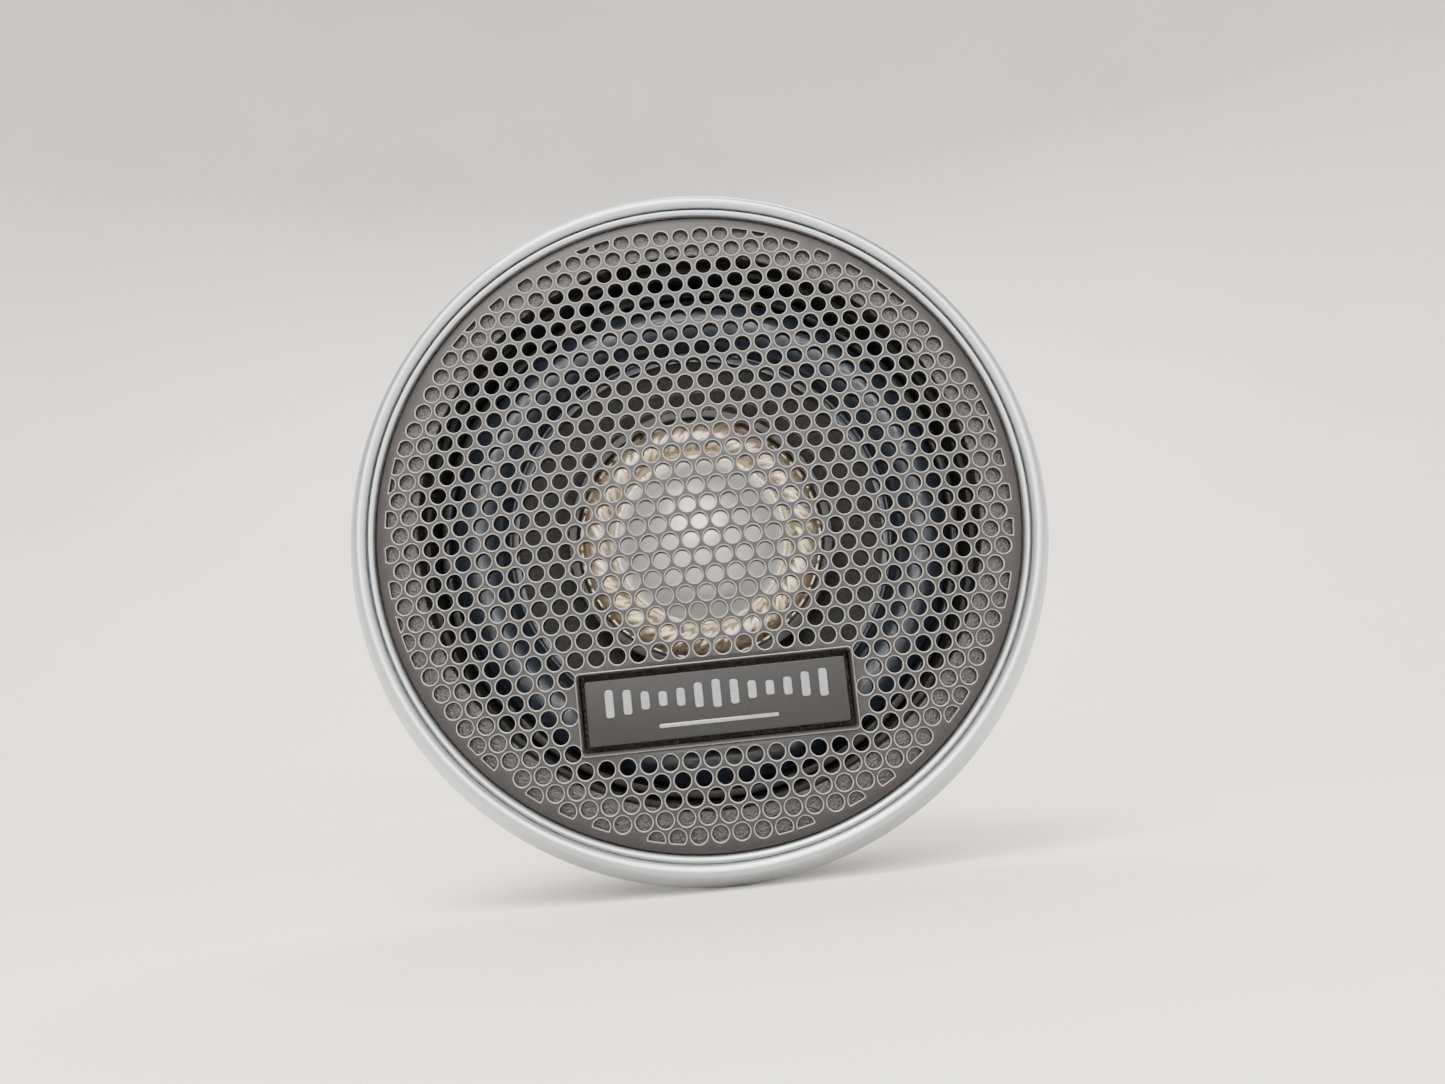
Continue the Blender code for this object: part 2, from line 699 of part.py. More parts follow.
# Each lead's route is set by hand, in millimetres.
tinsel_route = [
    (6.4, 13.1, 30.8), (6.4, 12.4, 30.4), (6.4, 12.0, 28.6), (6.6, 12.5, 26.0),
    (5.8, 13.4, 23.2), (4.7, 13.2, 20.6), (4.1, 11.9, 18.9), (3.9, 11.6, 18.4),
]
tweeter_pair_route = [
    (3.2, 15.1, 30.0), (3.2, 17.5, 29.8), (3.1, 22.0, 28.6), (2.9, 28.0, 27.4),
    (2.6, 33.6, 26.6), (2.2, 37.2, 24.9), (1.7, 38.8, 20.0), (1.1, 40.0, 13.0),
    (0.5, 41.4, 7.0), (0.1, 42.9, 3.0), (0.0, 43.1, 1.0), (0.0, 42.0, 0.1),
    (0.0, 40.0, 0.0), (0.0, 30.0, 0.0), (0.0, 18.0, 0.0), (0.0, 8.4, 0.0),
]


def make_leads():
    mirrored = [(-x, y, z) for x, y, z in tinsel_route]
    wire("tinsel_lead_1", tinsel_route, 0.35, "tinsel_braid")
    wire("tinsel_lead_2", mirrored, 0.35, "tinsel_braid")
    right = [(x + lead_offset, y, z) for x, y, z in tweeter_pair_route]
    left = [(x - lead_offset, y, z) for x, y, z in tweeter_pair_route]
    wire("tweeter_lead_1", right, lead_radius, "red_wire", 2)
    wire("tweeter_lead_2", left, lead_radius, "black_wire", 2)


make_trim_ring()
make_panel_gasket()
make_grille()
make_basket()
make_cone()
make_cone_surround()
make_coil()
make_spider()
make_motor()
make_tweeter_diaphragm()
make_tweeter_body()
make_post()
make_chassis_screws()
make_clips()
make_terminal_board()
make_board_screw()
make_connector()
make_capacitor()
make_leads()
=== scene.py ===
import math

import bmesh
import bpy
from mathutils import Matrix, Vector, noise
from mathutils.geometry import delaunay_2d_cdt


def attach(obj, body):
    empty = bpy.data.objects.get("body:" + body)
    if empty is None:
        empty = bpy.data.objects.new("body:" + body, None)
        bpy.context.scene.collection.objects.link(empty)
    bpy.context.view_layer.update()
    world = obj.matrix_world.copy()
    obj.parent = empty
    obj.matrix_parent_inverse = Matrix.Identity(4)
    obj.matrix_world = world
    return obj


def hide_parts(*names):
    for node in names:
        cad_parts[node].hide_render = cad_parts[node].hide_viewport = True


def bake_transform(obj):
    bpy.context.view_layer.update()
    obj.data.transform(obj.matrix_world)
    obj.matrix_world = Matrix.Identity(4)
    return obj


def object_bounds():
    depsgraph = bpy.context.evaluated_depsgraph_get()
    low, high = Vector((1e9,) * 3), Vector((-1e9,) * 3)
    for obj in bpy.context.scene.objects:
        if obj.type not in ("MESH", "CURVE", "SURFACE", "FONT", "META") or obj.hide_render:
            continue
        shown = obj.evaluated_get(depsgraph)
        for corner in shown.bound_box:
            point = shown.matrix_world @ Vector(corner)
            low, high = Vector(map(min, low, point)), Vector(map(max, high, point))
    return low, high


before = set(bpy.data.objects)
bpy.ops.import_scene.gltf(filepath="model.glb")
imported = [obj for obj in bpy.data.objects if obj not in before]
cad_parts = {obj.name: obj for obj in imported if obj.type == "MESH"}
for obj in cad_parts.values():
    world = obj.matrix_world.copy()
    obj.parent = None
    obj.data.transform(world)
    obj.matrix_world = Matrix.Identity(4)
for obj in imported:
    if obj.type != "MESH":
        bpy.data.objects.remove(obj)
cadLow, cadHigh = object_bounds()
mm = 0.001
turnRound = 2 * math.pi
quarter = math.pi / 2

# The speaker faces -Y. Outlines are (radius, depth) in mm, and depth grows to the rear.
# Widths and heights on the face are x and z, also in mm.

# --- camera and light ---
cameraSetup = {"lens": 30.1, "sensor": 36, "place": (0.32, -143.05, -25.41), "turn": (99.39, 5.94, 0.09)}
lightSetup = {
    "key": {"place": (-90, -250, 430), "aim": (0, 0, 0), "size": 240, "power": 4.4,
            "colour": (1.0, 0.985, 0.96)},
    "front": {"place": (-20, -520, 210), "aim": (0, 0, 0), "size": 460, "power": 7.5,
              "colour": (1.0, 0.99, 0.97)},
    "fill": {"place": (330, -260, 130), "aim": (0, 0, 0), "size": 260, "power": 0.6,
             "colour": (0.95, 0.97, 1.0)},
    "rear": {"place": (0, 330, 430), "aim": (0, 320, 0), "size": 380, "power": 4.2,
             "colour": (1.0, 1.0, 1.0)},
}
worldSetup = {"colour": (0.88, 0.88, 0.89), "strength": 0.2}


def newObject(name, data):
    made = bpy.data.objects.new(name, data)
    bpy.context.scene.collection.objects.link(made)
    return made


def placeCamera():
    data = bpy.data.cameras.new("camera")
    data.lens = cameraSetup["lens"]
    data.sensor_width = cameraSetup["sensor"]
    data.clip_start = mm
    camera = newObject("camera", data)
    camera.location = [value * mm for value in cameraSetup["place"]]
    camera.rotation_euler = [math.radians(value) for value in cameraSetup["turn"]]
    bpy.context.scene.camera = camera


def placeLights():
    for name, setup in lightSetup.items():
        data = bpy.data.lights.new(name, "AREA")
        data.size = setup["size"] * mm
        data.energy = setup["power"]
        data.color = setup["colour"]
        lamp = newObject(name, data)
        lamp.location = [value * mm for value in setup["place"]]
        away = lamp.location - Vector(setup["aim"]) * mm
        lamp.rotation_euler = away.to_track_quat("Z", "Y").to_euler()
    world = bpy.data.worlds.new("studio")
    world.use_nodes = True
    sky = world.node_tree.nodes["Background"]
    sky.inputs["Color"].default_value = (*worldSetup["colour"], 1)
    sky.inputs["Strength"].default_value = worldSetup["strength"]
    bpy.context.scene.world = world


# --- shape of the grille, which its own finish also reads ---
grille = {
    "apex": -6.6, "bulge": 0.001625, "edge": 37.55, "outer": 37.75, "rim": 32.9, "thickness": 1.2,
    "pitch": 2.4, "holeRadius": 0.94, "lip": 0.15, "field": 36.55, "firstHole": (0.05, -0.11),
    "rows": 18, "columns": 16, "sides": 22, "borderSteps": 240, "floor": 0.72, "leastDepth": 0.5,
}


# --- finishes ---
class Wire:
    # A node's output that can stand in a sum.
    def __init__(self, finish, socket):
        self.finish = finish
        self.socket = socket

    def maths(self, operation, *values):
        return self.finish.node("ShaderNodeMath", {"operation": operation}, dict(enumerate(values)))

    def __add__(self, other):
        return self.maths("ADD", self, other)

    def __sub__(self, other):
        return self.maths("SUBTRACT", self, other)

    def __rsub__(self, other):
        return self.maths("SUBTRACT", other, self)

    def __mul__(self, other):
        return self.maths("MULTIPLY", self, other)

    def __truediv__(self, other):
        return self.maths("DIVIDE", self, other)

    def __pow__(self, other):
        return self.maths("POWER", self, other)

    __radd__ = __add__
    __rmul__ = __mul__

    def sine(self):
        return self.maths("SINE", self)


def tone(colour):
    # An everyday 0 to 255 colour as the linear one, with alpha, that shaders take.
    return (*(((value / 255 + 0.055) / 1.055) ** 2.4 for value in colour), 1)


class Finish:
    # A Principled material that is put together a line at a time. Its colours are 0 to 255.
    def __init__(self, name, colour, roughness, **fixed):
        self.name = name
        self.material = bpy.data.materials.new(name)
        self.material.use_nodes = True
        self.nodes = self.material.node_tree.nodes
        self.shader = self.nodes["Principled BSDF"]
        self.put("Base Color", tone(colour))
        self.put("Roughness", roughness)
        for label, value in fixed.items():
            self.put(label.replace("_", " "), value)
        self.normal = None

    def connect(self, value, socket):
        if isinstance(value, Wire):
            self.material.node_tree.links.new(value.socket, socket)
        else:
            socket.default_value = value

    def put(self, label, value):
        self.connect(value, self.shader.inputs[label])

    def node(self, kind, settings, inputs, output=0):
        made = self.nodes.new(kind)
        for key, value in settings.items():
            setattr(made, key, value)
        for key, value in inputs.items():
            self.connect(value, made.inputs[key])
        return Wire(self, made.outputs[output])

    def place(self):
        return self.node("ShaderNodeTexCoord", {}, {}, "Object")

    def axis(self, letter):
        return self.node("ShaderNodeSeparateXYZ", {}, {0: self.place()}, letter) / mm

    def radius(self):
        return (self.axis("X") ** 2 + self.axis("Z") ** 2) ** 0.5

    def grain(self, size, detail=2.0, stretch=(1, 1, 1)):
        # Cloudy noise from 0 to 1 whose blots are about this many mm across.
        where = self.node("ShaderNodeMapping", {}, {0: self.place(), "Scale": stretch})
        inputs = {"Vector": where, "Scale": 1 / (size * mm), "Detail": detail}
        return self.node("ShaderNodeTexNoise", {}, inputs)

    def cells(self, size):
        inputs = {"Vector": self.place(), "Scale": 1 / (size * mm)}
        return self.node("ShaderNodeTexVoronoi", {}, inputs)

    def ridges(self, value, spacing):
        # Waves from 0 to 1 whose crests are this many mm apart.
        return (value * (turnRound / spacing)).sine() * 0.5 + 0.5

    def between(self, value, low, high):
        # 0 below low, 1 above high and smooth from one to the other.
        inputs = {"Value": value, "From Min": low, "From Max": high}
        return self.node("ShaderNodeMapRange", {"interpolation_type": "SMOOTHSTEP"}, inputs)

    def mixed(self, mask, *colours):
        first, second = (colour if isinstance(colour, Wire) else tone(colour) for colour in colours)
        return self.node("ShaderNodeMix", {"data_type": "RGBA"}, {0: mask, 6: first, 7: second}, 2)

    def bump(self, height, depth):
        # depth is the height in mm that 0 to 1 stands for.
        inputs = {"Height": height, "Distance": depth * mm}
        if self.normal:
            inputs["Normal"] = self.normal
        self.normal = self.node("ShaderNodeBump", {}, inputs)
        self.put("Normal", self.normal)


# Finishes whose colour and roughness follow one cloudy grain. "rough" is the roughness outside the
# clouds and what they add. Each bump is a grain and a depth in mm; without a grain it is the cloud's.
cloudyFinishes = {
    "badge_gloss": {"tones": ((17, 15, 15), (25, 23, 23)), "grain": (0.5, 4, (6, 1, 0.3)),
                    "rough": (0.34, 0.14), "bumps": [((0.12,), 0.005)],
                    "fixed": {"Specular_IOR_Level": 0.32}},
    "basket_plastic": {"tones": ((29, 29, 31), (46, 46, 48)), "grain": (5, 4), "rough": (0.42, 0.2),
                       "bumps": [((0.28, 3), 0.025), (None, 0.05)]},
    "paper_cone": {"tones": ((40, 40, 42), (82, 81, 82)), "grain": (0.35, 6), "rough": (0.62, 0.25),
                   "roughGrain": (2.4, 4), "bumps": [(None, 0.05), ((2.4, 4), 0.12)],
                   "fixed": {"Specular_IOR_Level": 0.4}},
    "surround_rubber": {"tones": ((36, 41, 51), (56, 62, 73)), "grain": (6, 4), "rough": (0.24, 0.16),
                        "bumps": [((0.3, 3), 0.01), ((4,), 0.05)],
                        "fixed": {"Coat_Weight": 0.45, "Coat_Roughness": 0.14}},
    "ring_plastic": {"tones": ((24, 24, 26), (38, 38, 40)), "grain": (3, 4), "rough": (0.22, 0.16),
                     "bumps": [((0.5,), 0.01)]},
    "former_film": {"tones": ((158, 100, 34), (190, 134, 54)), "grain": (4, 3, (1, 3, 1)),
                    "rough": (0.24, 0.16), "bumps": [(None, 0.02)], "fixed": {"Coat_Weight": 0.3}},
    "champagne_film": {"tones": ((206, 182, 146), (238, 224, 204)), "grain": (1.4, 4), "rough": (0.2, 0.16),
                       "bumps": [((0.4, 3), 0.03)],
                       "fixed": {"Metallic": 0.7, "Coat_Weight": 0.4, "Coat_Roughness": 0.12}},
    "bright_magnet": {"tones": ((206, 206, 208), (206, 206, 208)), "grain": (1.5, 4), "rough": (0.16, 0.18),
                      "bumps": [((0.3,), 0.004)], "fixed": {"Metallic": 1.0}},
    "felt": {"tones": ((84, 84, 88), (150, 150, 152)), "grain": (0.3, 6), "rough": (0.95, 0),
             "bumps": [(None, 0.2)], "fixed": {"Sheen_Weight": 0.4}},
    "zinc_steel": {"tones": ((180, 182, 188), (212, 212, 210)), "grain": (1.6, 4), "rough": (0.24, 0.2),
                   "bumps": [((0.12,), 0.004)], "fixed": {"Metallic": 1.0}},
    "spring_steel": {"tones": ((104, 106, 112), (150, 151, 154)), "grain": (0.5, 4, (1, 0.15, 1)),
                     "rough": (0.26, 0.2), "bumps": [(None, 0.008)], "fixed": {"Metallic": 1.0}},
    "board_laminate": {"tones": ((140, 98, 54), (178, 134, 82)), "grain": (1.0, 5), "rough": (0.45, 0.15),
                       "bumps": [(None, 0.01)]},
    "connector_plastic": {"tones": ((38, 38, 40), (54, 54, 56)), "grain": (2, 3), "rough": (0.34, 0.14),
                          "bumps": [((0.2, 3), 0.012)]},
    "tin_plate": {"tones": ((192, 192, 188), (224, 222, 214)), "grain": (0.9, 4), "rough": (0.18, 0.2),
                  "bumps": [(None, 0.01)], "fixed": {"Metallic": 1.0}},
    "tinsel_braid": {"tones": ((168, 96, 58), (222, 162, 118)), "grain": (0.3, 3), "rough": (0.28, 0.2),
                     "bumps": [(None, 0.03)], "fixed": {"Metallic": 0.9}},
    "red_wire": {"tones": ((130, 22, 22), (168, 34, 32)), "grain": (1.2, 3), "rough": (0.3, 0.16),
                 "bumps": [((0.5,), 0.01)]},
    "black_wire": {"tones": ((26, 26, 28), (44, 44, 46)), "grain": (1.2, 3), "rough": (0.3, 0.16),
                   "bumps": [((0.5,), 0.01)]},
}


def cloudyFinish(name, recipe):
    dark, light = recipe["tones"]
    plain, added = recipe["rough"]
    made = Finish(name, light, plain, **recipe.get("fixed", {}))
    cloud = made.grain(*recipe["grain"])
    made.put("Base Color", made.mixed(cloud, dark, light))
    if added:
        rubbed = made.grain(*recipe["roughGrain"]) if "roughGrain" in recipe else cloud
        made.put("Roughness", plain + rubbed * added)
    for grain, depth in recipe["bumps"]:
        made.bump(made.grain(*grain) if grain else cloud, depth)
    return made


def silverPaint():
    made = Finish("silver_paint", (170, 172, 175), 0.34, Metallic=0.9, Coat_Weight=0.1, Coat_Roughness=0.3)
    flakes = made.grain(0.07, 3)
    wear = made.between(made.grain(7, 4), 0.35, 0.75)
    made.put("Base Color", made.mixed(flakes, (156, 158, 161), (184, 186, 189)))
    made.put("Roughness", 0.32 + flakes * 0.07 + wear * 0.06)
    made.bump(flakes, 0.004)
    made.bump(made.grain(1.4), 0.006)
    return made


def grillePlastic():
    # Dark webs with a painted highlight on the hole lips, painted shade deep in the through holes, paler
    # floors in the blind holes and a plain border.
    made = Finish("grille_plastic", (36, 33, 32), 0.46, Specular_IOR_Level=0.4)
    radius = made.radius()
    below = made.axis("Y") - radius ** 2 * grille["bulge"] - grille["apex"]
    deep = made.between(below, 0.3, 0.55)
    blind = made.between(radius, grille["rim"] - 0.4, grille["rim"] - 0.1)
    border = made.between(radius, grille["field"], grille["field"] + 0.2) * (1 - deep)
    # The lip attribute marks the lips of the holes and the badge frame's edge, which get a painted highlight.
    edges = made.node("ShaderNodeAttribute", {"attribute_name": "lip"}, {}, "Fac")
    speckle = made.grain(0.16, 4)
    blots = made.grain(3.0, 3)
    webs = made.mixed(made.between(speckle, 0.34, 0.68), (22, 20, 20), (40, 37, 36))
    webs = made.mixed(made.between(blots, 0.3, 0.75) * 0.4, webs, (30, 28, 28))
    # Painted highlight: the marked lips are painted pale grey.
    webs = made.mixed(edges, webs, (136, 133, 130))
    floors = made.mixed(speckle, (42, 41, 40), (64, 62, 60))
    # Painted shade: below the lips, the through holes, the badge pocket walls and the back are painted near
    # black; past the rim the blind floors keep their paler colour.
    paintedShadeAndFloors = made.mixed(blind, (12, 11, 11), floors)
    plain = made.mixed(speckle, (27, 23, 22), (34, 30, 29))
    made.put("Base Color", made.mixed(border, made.mixed(deep, webs, paintedShadeAndFloors), plain))
    made.put("Roughness", 0.46 + speckle * 0.1 - deep * 0.12 - edges * 0.2)
    made.bump(made.grain(0.13, 3), 0.02)
    made.bump(made.grain(0.34, 2) * deep, 0.3)
    return made


def foamFinish():
    made = Finish("foam", (44, 44, 46), 0.95, Specular_IOR_Level=0.2)
    pores = made.cells(0.42)
    made.put("Base Color", made.mixed(made.between(pores, 0.1, 0.55), (22, 22, 23), (62, 62, 64)))
    made.bump(pores, 0.25)
    return made


def copperWire():
    made = Finish("copper_wire", (196, 112, 68), 0.3, Metallic=1.0, Coat_Weight=0.4)
    # Painted shade and highlight: the copper goes dark and bright in bands along the winding, like shaded
    # grooves and lit crests of the turns.
    turns = made.ridges(made.axis("Y"), 0.2)
    made.put("Base Color", made.mixed(turns, (132, 62, 34), (212, 128, 84)))
    made.put("Roughness", 0.24 + made.grain(1.2) * 0.16)
    made.bump(turns, 0.05)
    return made


def spiderCloth():
    made = Finish("spider_cloth", (196, 160, 90), 0.75, Specular_IOR_Level=0.35)
    across, along = ((made.axis(letter) * (turnRound / 0.5)).sine() for letter in "XZ")
    weave = across * along * 0.5 + 0.5
    resin = made.grain(3, 4)
    cloth = made.mixed(resin, (168, 128, 62), (204, 166, 98))
    made.put("Base Color", made.mixed(weave * 0.45, cloth, (120, 86, 40)))
    made.put("Roughness", 0.6 + resin * 0.25)
    made.bump(weave, 0.08)
    return made


def platedSteel():
    # The plating goes from straw over grey to a cool tint.
    made = Finish("plated_steel", (190, 184, 164), 0.34, Metallic=1.0)
    stain = made.grain(6, 4)
    lathe = made.grain(0.16, 2)
    bloom = made.node("ShaderNodeValToRGB", {}, {0: stain})
    stops = bloom.socket.node.color_ramp.elements
    stops.remove(stops[1])
    stops[0].position = 0.3
    stops[0].color = tone((186, 176, 138))
    stops.new(0.5).color = tone((196, 194, 180))
    stops.new(0.68).color = tone((176, 180, 178))
    made.put("Base Color", bloom)
    made.put("Roughness", 0.28 + stain * 0.16 + lathe * 0.06)
    made.bump(made.ridges(made.radius(), 0.22), 0.006)
    made.bump(lathe, 0.006)
    return made


def ferriteFinish():
    made = Finish("ferrite", (72, 72, 75), 0.62, Specular_IOR_Level=0.6)
    powder = made.grain(0.12, 3)
    scuffs = made.between(made.grain(1.1, 5), 0.6, 0.74)
    base = made.mixed(powder, (58, 58, 61), (84, 84, 87))
    made.put("Base Color", made.mixed(scuffs * 0.3, base, (104, 103, 102)))
    made.put("Roughness", 0.66 - scuffs * 0.16)
    made.bump(powder, 0.02)
    made.bump(made.grain(2.5, 4), 0.08)
    return made


def domeMetal():
    made = Finish("dome_metal", (236, 235, 230), 0.24, Metallic=0.45)
    cloud = made.grain(2.2, 4)
    made.put("Base Color", made.mixed(cloud, (232, 230, 224), (246, 245, 242)))
    made.put("Roughness", 0.2 + cloud * 0.1)
    made.bump(made.ridges(made.radius(), 0.17), 0.002)
    made.bump(made.grain(0.3, 3), 0.006)
    return made


def capacitorSleeve():
    # A pale stripe marks the can's negative side, and its end is bare metal.
    made = Finish("capacitor_sleeve", (34, 52, 104), 0.3, Coat_Weight=0.3)
    stripe = made.between(made.axis("X"), 10.35, 10.45)
    end = made.between(made.axis("Y"), 24.95, 25.0)
    cloud = made.grain(3, 3)
    striped = made.mixed(stripe, made.mixed(cloud, (28, 44, 92), (42, 62, 116)), (206, 208, 214))
    made.put("Base Color", made.mixed(end, striped, (198, 198, 200)))
    made.put("Metallic", end)
    made.put("Roughness", 0.26 + cloud * 0.14)
    made.bump(made.grain(0.8), 0.01)
    return made


finishes = {name: cloudyFinish(name, recipe) for name, recipe in cloudyFinishes.items()}
for makeFinish in (silverPaint, grillePlastic, foamFinish, copperWire, spiderCloth, platedSteel,
                   ferriteFinish, domeMetal, capacitorSleeve):
    made = makeFinish()
    finishes[made.name] = made
print("finishes:", len(finishes))


# --- mesh tools ---
def toMesh(name, shape):
    bmesh.ops.recalc_face_normals(shape, faces=shape.faces)
    return asMesh(name, shape)


def asMesh(name, shape):
    mesh = bpy.data.meshes.new(name)
    shape.to_mesh(mesh)
    shape.free()
    return mesh


def addPiece(name, mesh, slotName, body="chassis", nodes=(), sharp=38):
    piece = newObject(name, mesh)
    mesh.materials.clear()
    mesh.materials.append(finishes[slotName].material)
    mesh.shade_smooth()
    if sharp:
        mesh.set_sharp_from_angle(angle=math.radians(sharp))
    if nodes:
        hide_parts(*nodes)
    if body:
        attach(piece, body)
    return piece


def clamped(value):
    return min(max(value, 0), 1)


def blendByRadius(piece, inner, outer):
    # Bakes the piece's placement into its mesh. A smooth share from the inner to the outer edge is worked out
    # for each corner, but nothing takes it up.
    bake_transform(piece)
    for corner in piece.data.vertices:
        share = clamped((outer - math.hypot(corner.co.x, corner.co.z) / mm) / (outer - inner))
        share * share * (3 - 2 * share)


def softened(outline, size, closed=True, segments=3):
    # The outline with each of its corners rounded.
    points = [Vector(corner) for corner in outline]
    result = []
    for i, here in enumerate(points):
        isEnd = not closed and i in (0, len(points) - 1)
        before = points[i - 1] - here
        after = points[(i + 1) % len(points)] - here
        turn = 0 if isEnd else math.pi - before.angle(after)
        if turn < 0.2:
            result.append(here)
            continue
        reach = min(size * math.tan(turn / 2), before.length * 0.45, after.length * 0.45)
        start = here + before.normalized() * reach
        end = here + after.normalized() * reach
        for step in range(segments + 1):
            t = step / segments
            result.append(start * (1 - t) ** 2 + here * (2 * t * (1 - t)) + end * t ** 2)
    return [tuple(point) for point in result]


def onCircle(radius, angle, centre=(0, 0)):
    return centre[0] + radius * math.cos(angle), centre[1] + radius * math.sin(angle)


def arcPoints(centre, radius, start, end, count):
    # From one angle to another in degrees; 90 is the side that faces the grille.
    angles = [math.radians(start + (end - start) * i / count) for i in range(count + 1)]
    return [onCircle(radius, -angle, centre) for angle in angles]


def addPoint(shape, x, y, z):
    return shape.verts.new((x * mm, y * mm, z * mm))


def turnedMesh(name, outline, steps=144, closed=True, ripple=None):
    shape = bmesh.new()
    rings = []
    for radius, depth in outline:
        ring = []
        for i in range(steps if radius > 0.001 else 1):
            angle = turnRound * i / steps
            r, d = ripple(radius, depth, angle) if ripple else (radius, depth)
            x, z = onCircle(r, angle)
            ring.append(addPoint(shape, x, d, z))
        rings.append(ring)
    pairs = list(zip(rings, rings[1:] + rings[:1]))
    for near, far in pairs if closed else pairs[:-1]:
        for i in range(steps):
            corners = [near[i % len(near)], near[(i + 1) % len(near)],
                       far[(i + 1) % len(far)], far[i % len(far)]]
            corners = list(dict.fromkeys(corners))
            if len(corners) > 2:
                shape.faces.new(corners)
    return toMesh(name, shape)


def rodMesh(name, radius, front, rear, steps=32):
    return turnedMesh(name, [(0, front), (radius, front), (radius, rear), (0, rear)], steps, closed=False)


def loftMesh(name, loops, caps=(0, -1)):
    # Skin over closed loops of points in mm that all have as many points.
    shape = bmesh.new()
    rows = [[addPoint(shape, *point) for point in loop] for loop in loops]
    for near, far in zip(rows, rows[1:]):
        for i in range(len(near)):
            j = (i + 1) % len(near)
            shape.faces.new((near[i], near[j], far[j], far[i]))
    for cap in caps:
        shape.faces.new(rows[cap])
    return toMesh(name, shape)


def roundedRect(width, height, corner, perCorner=5):
    points = []
    for number, (sx, sy) in enumerate(((1, 1), (-1, 1), (-1, -1), (1, -1))):
        centre = sx * (width / 2 - corner), sy * (height / 2 - corner)
        for i in range(perCorner + 1):
            points.append(onCircle(corner, quarter * (number + i / perCorner), centre))
    return points


def blockMesh(name, low, high, rounding=0.0, segments=2):
    shape = bmesh.new()
    bmesh.ops.create_cube(shape, size=1.0)
    bmesh.ops.scale(shape, vec=[(b - a) * mm for a, b in zip(low, high)], verts=shape.verts)
    bmesh.ops.translate(shape, vec=[(a + b) / 2 * mm for a, b in zip(low, high)], verts=shape.verts)
    if rounding:
        bmesh.ops.bevel(shape, geom=shape.edges, offset=rounding * mm, segments=segments,
                        profile=0.5, affect="EDGES")
    return toMesh(name, shape)


def joinedMesh(name, meshes):
    shape = bmesh.new()
    for mesh in meshes:
        shape.from_mesh(mesh)
    return toMesh(name, shape)


def moved(mesh, matrix):
    mesh.transform(matrix)
    return mesh


def shift(x, y, z):
    return Matrix.Translation((x * mm, y * mm, z * mm))


def rotated(angle, axis="Y"):
    return Matrix.Rotation(angle, 4, axis)


def spin(degrees):
    # Turns a shape made at 0 degrees (+X) to its angle on the face.
    return rotated(-math.radians(degrees))


def outwards(degrees, depth):
    # Local Y, a turned part's own axis, comes to point out of the barrel.
    return spin(degrees) @ shift(0, depth, 0) @ rotated(-quarter, "Z")


def carved(mesh, cuts):
    # Booleans on a mesh: each cut is (mesh, operation).
    base = newObject("base", mesh)
    helpers = []
    for cutMesh, operation in cuts:
        helpers.append(newObject("helper", cutMesh))
        step = base.modifiers.new("carve", "BOOLEAN")
        step.operation = operation
        step.object = helpers[-1]
        step.solver = "EXACT"
    graph = bpy.context.evaluated_depsgraph_get()
    result = bpy.data.meshes.new_from_object(base.evaluated_get(graph))
    for helper in helpers + [base]:
        bpy.data.objects.remove(helper)
    return result


def crossCuts(blade, start=0.0):
    # The same cut twice, a quarter turn apart.
    return [(moved(blade.copy(), rotated(turn + start)), "DIFFERENCE") for turn in (0, quarter)]


def smoothRoute(points, perSpan):
    padded = [Vector(point) for point in [points[0]] + points + [points[-1]]]
    route = []
    for a, b, c, d in zip(padded, padded[1:], padded[2:], padded[3:]):
        for i in range(perSpan):
            t = i / perSpan
            route.append(0.5 * (2 * b + (c - a) * t + (2 * a - 5 * b + 4 * c - d) * t ** 2
                                + (3 * b - a - 3 * c + d) * t ** 3))
    route.append(padded[-1])
    return route


def heading(points, i):
    # The direction of a route at its point i.
    return (points[min(i + 1, len(points) - 1)] - points[max(i - 1, 0)]).normalized()


def tubeMesh(name, route, radius, sides=14, strand=None):
    # A tube along a route in mm. strand=(turn radius, pitch, phase) winds it round the route.
    side = (route[1] - route[0]).orthogonal().normalized()
    loops, length = [], 0.0
    for i, centre in enumerate(route):
        ahead = heading(route, i)
        side = (side - ahead * side.dot(ahead)).normalized()
        other = ahead.cross(side)
        if i:
            length += (centre - route[i - 1]).length
        if strand:
            offset, pitch, phase = strand
            wound = turnRound * (length / pitch + phase)
            centre = centre + (side * math.cos(wound) + other * math.sin(wound)) * offset
        angles = [turnRound * k / sides for k in range(sides)]
        loops.append([centre + (side * math.cos(angle) + other * math.sin(angle)) * radius
                      for angle in angles])
    return loftMesh(name, loops)


# --- grille ---
badge = {
    "height": -20.9, "outer": (31.5, 9.4), "corner": 0.55, "land": -0.2, "slope": 0.3,
    "pocket": 2.0, "plate": (29.6, 7.35), "plateTop": 0.08, "plateDrop": 0.14,
}
marks = {"count": 13, "pitch": 2.02, "width": 0.95, "middle": 0.95, "tall": 3.1, "low": 1.1, "rise": 0.1,
         "lineWidth": 13.5, "lineHeight": 0.42, "linePlace": -2.1}
grilleBack = {"skirt": -3.0, "step": -1.7, "ledge": 36.7, "rear": -0.2, "shoulder": 1.6, "floorEdge": 37.3,
              "rounding": 0.3}


def faceDepth(x, z=0.0):
    return grille["apex"] + grille["bulge"] * (x * x + z * z)


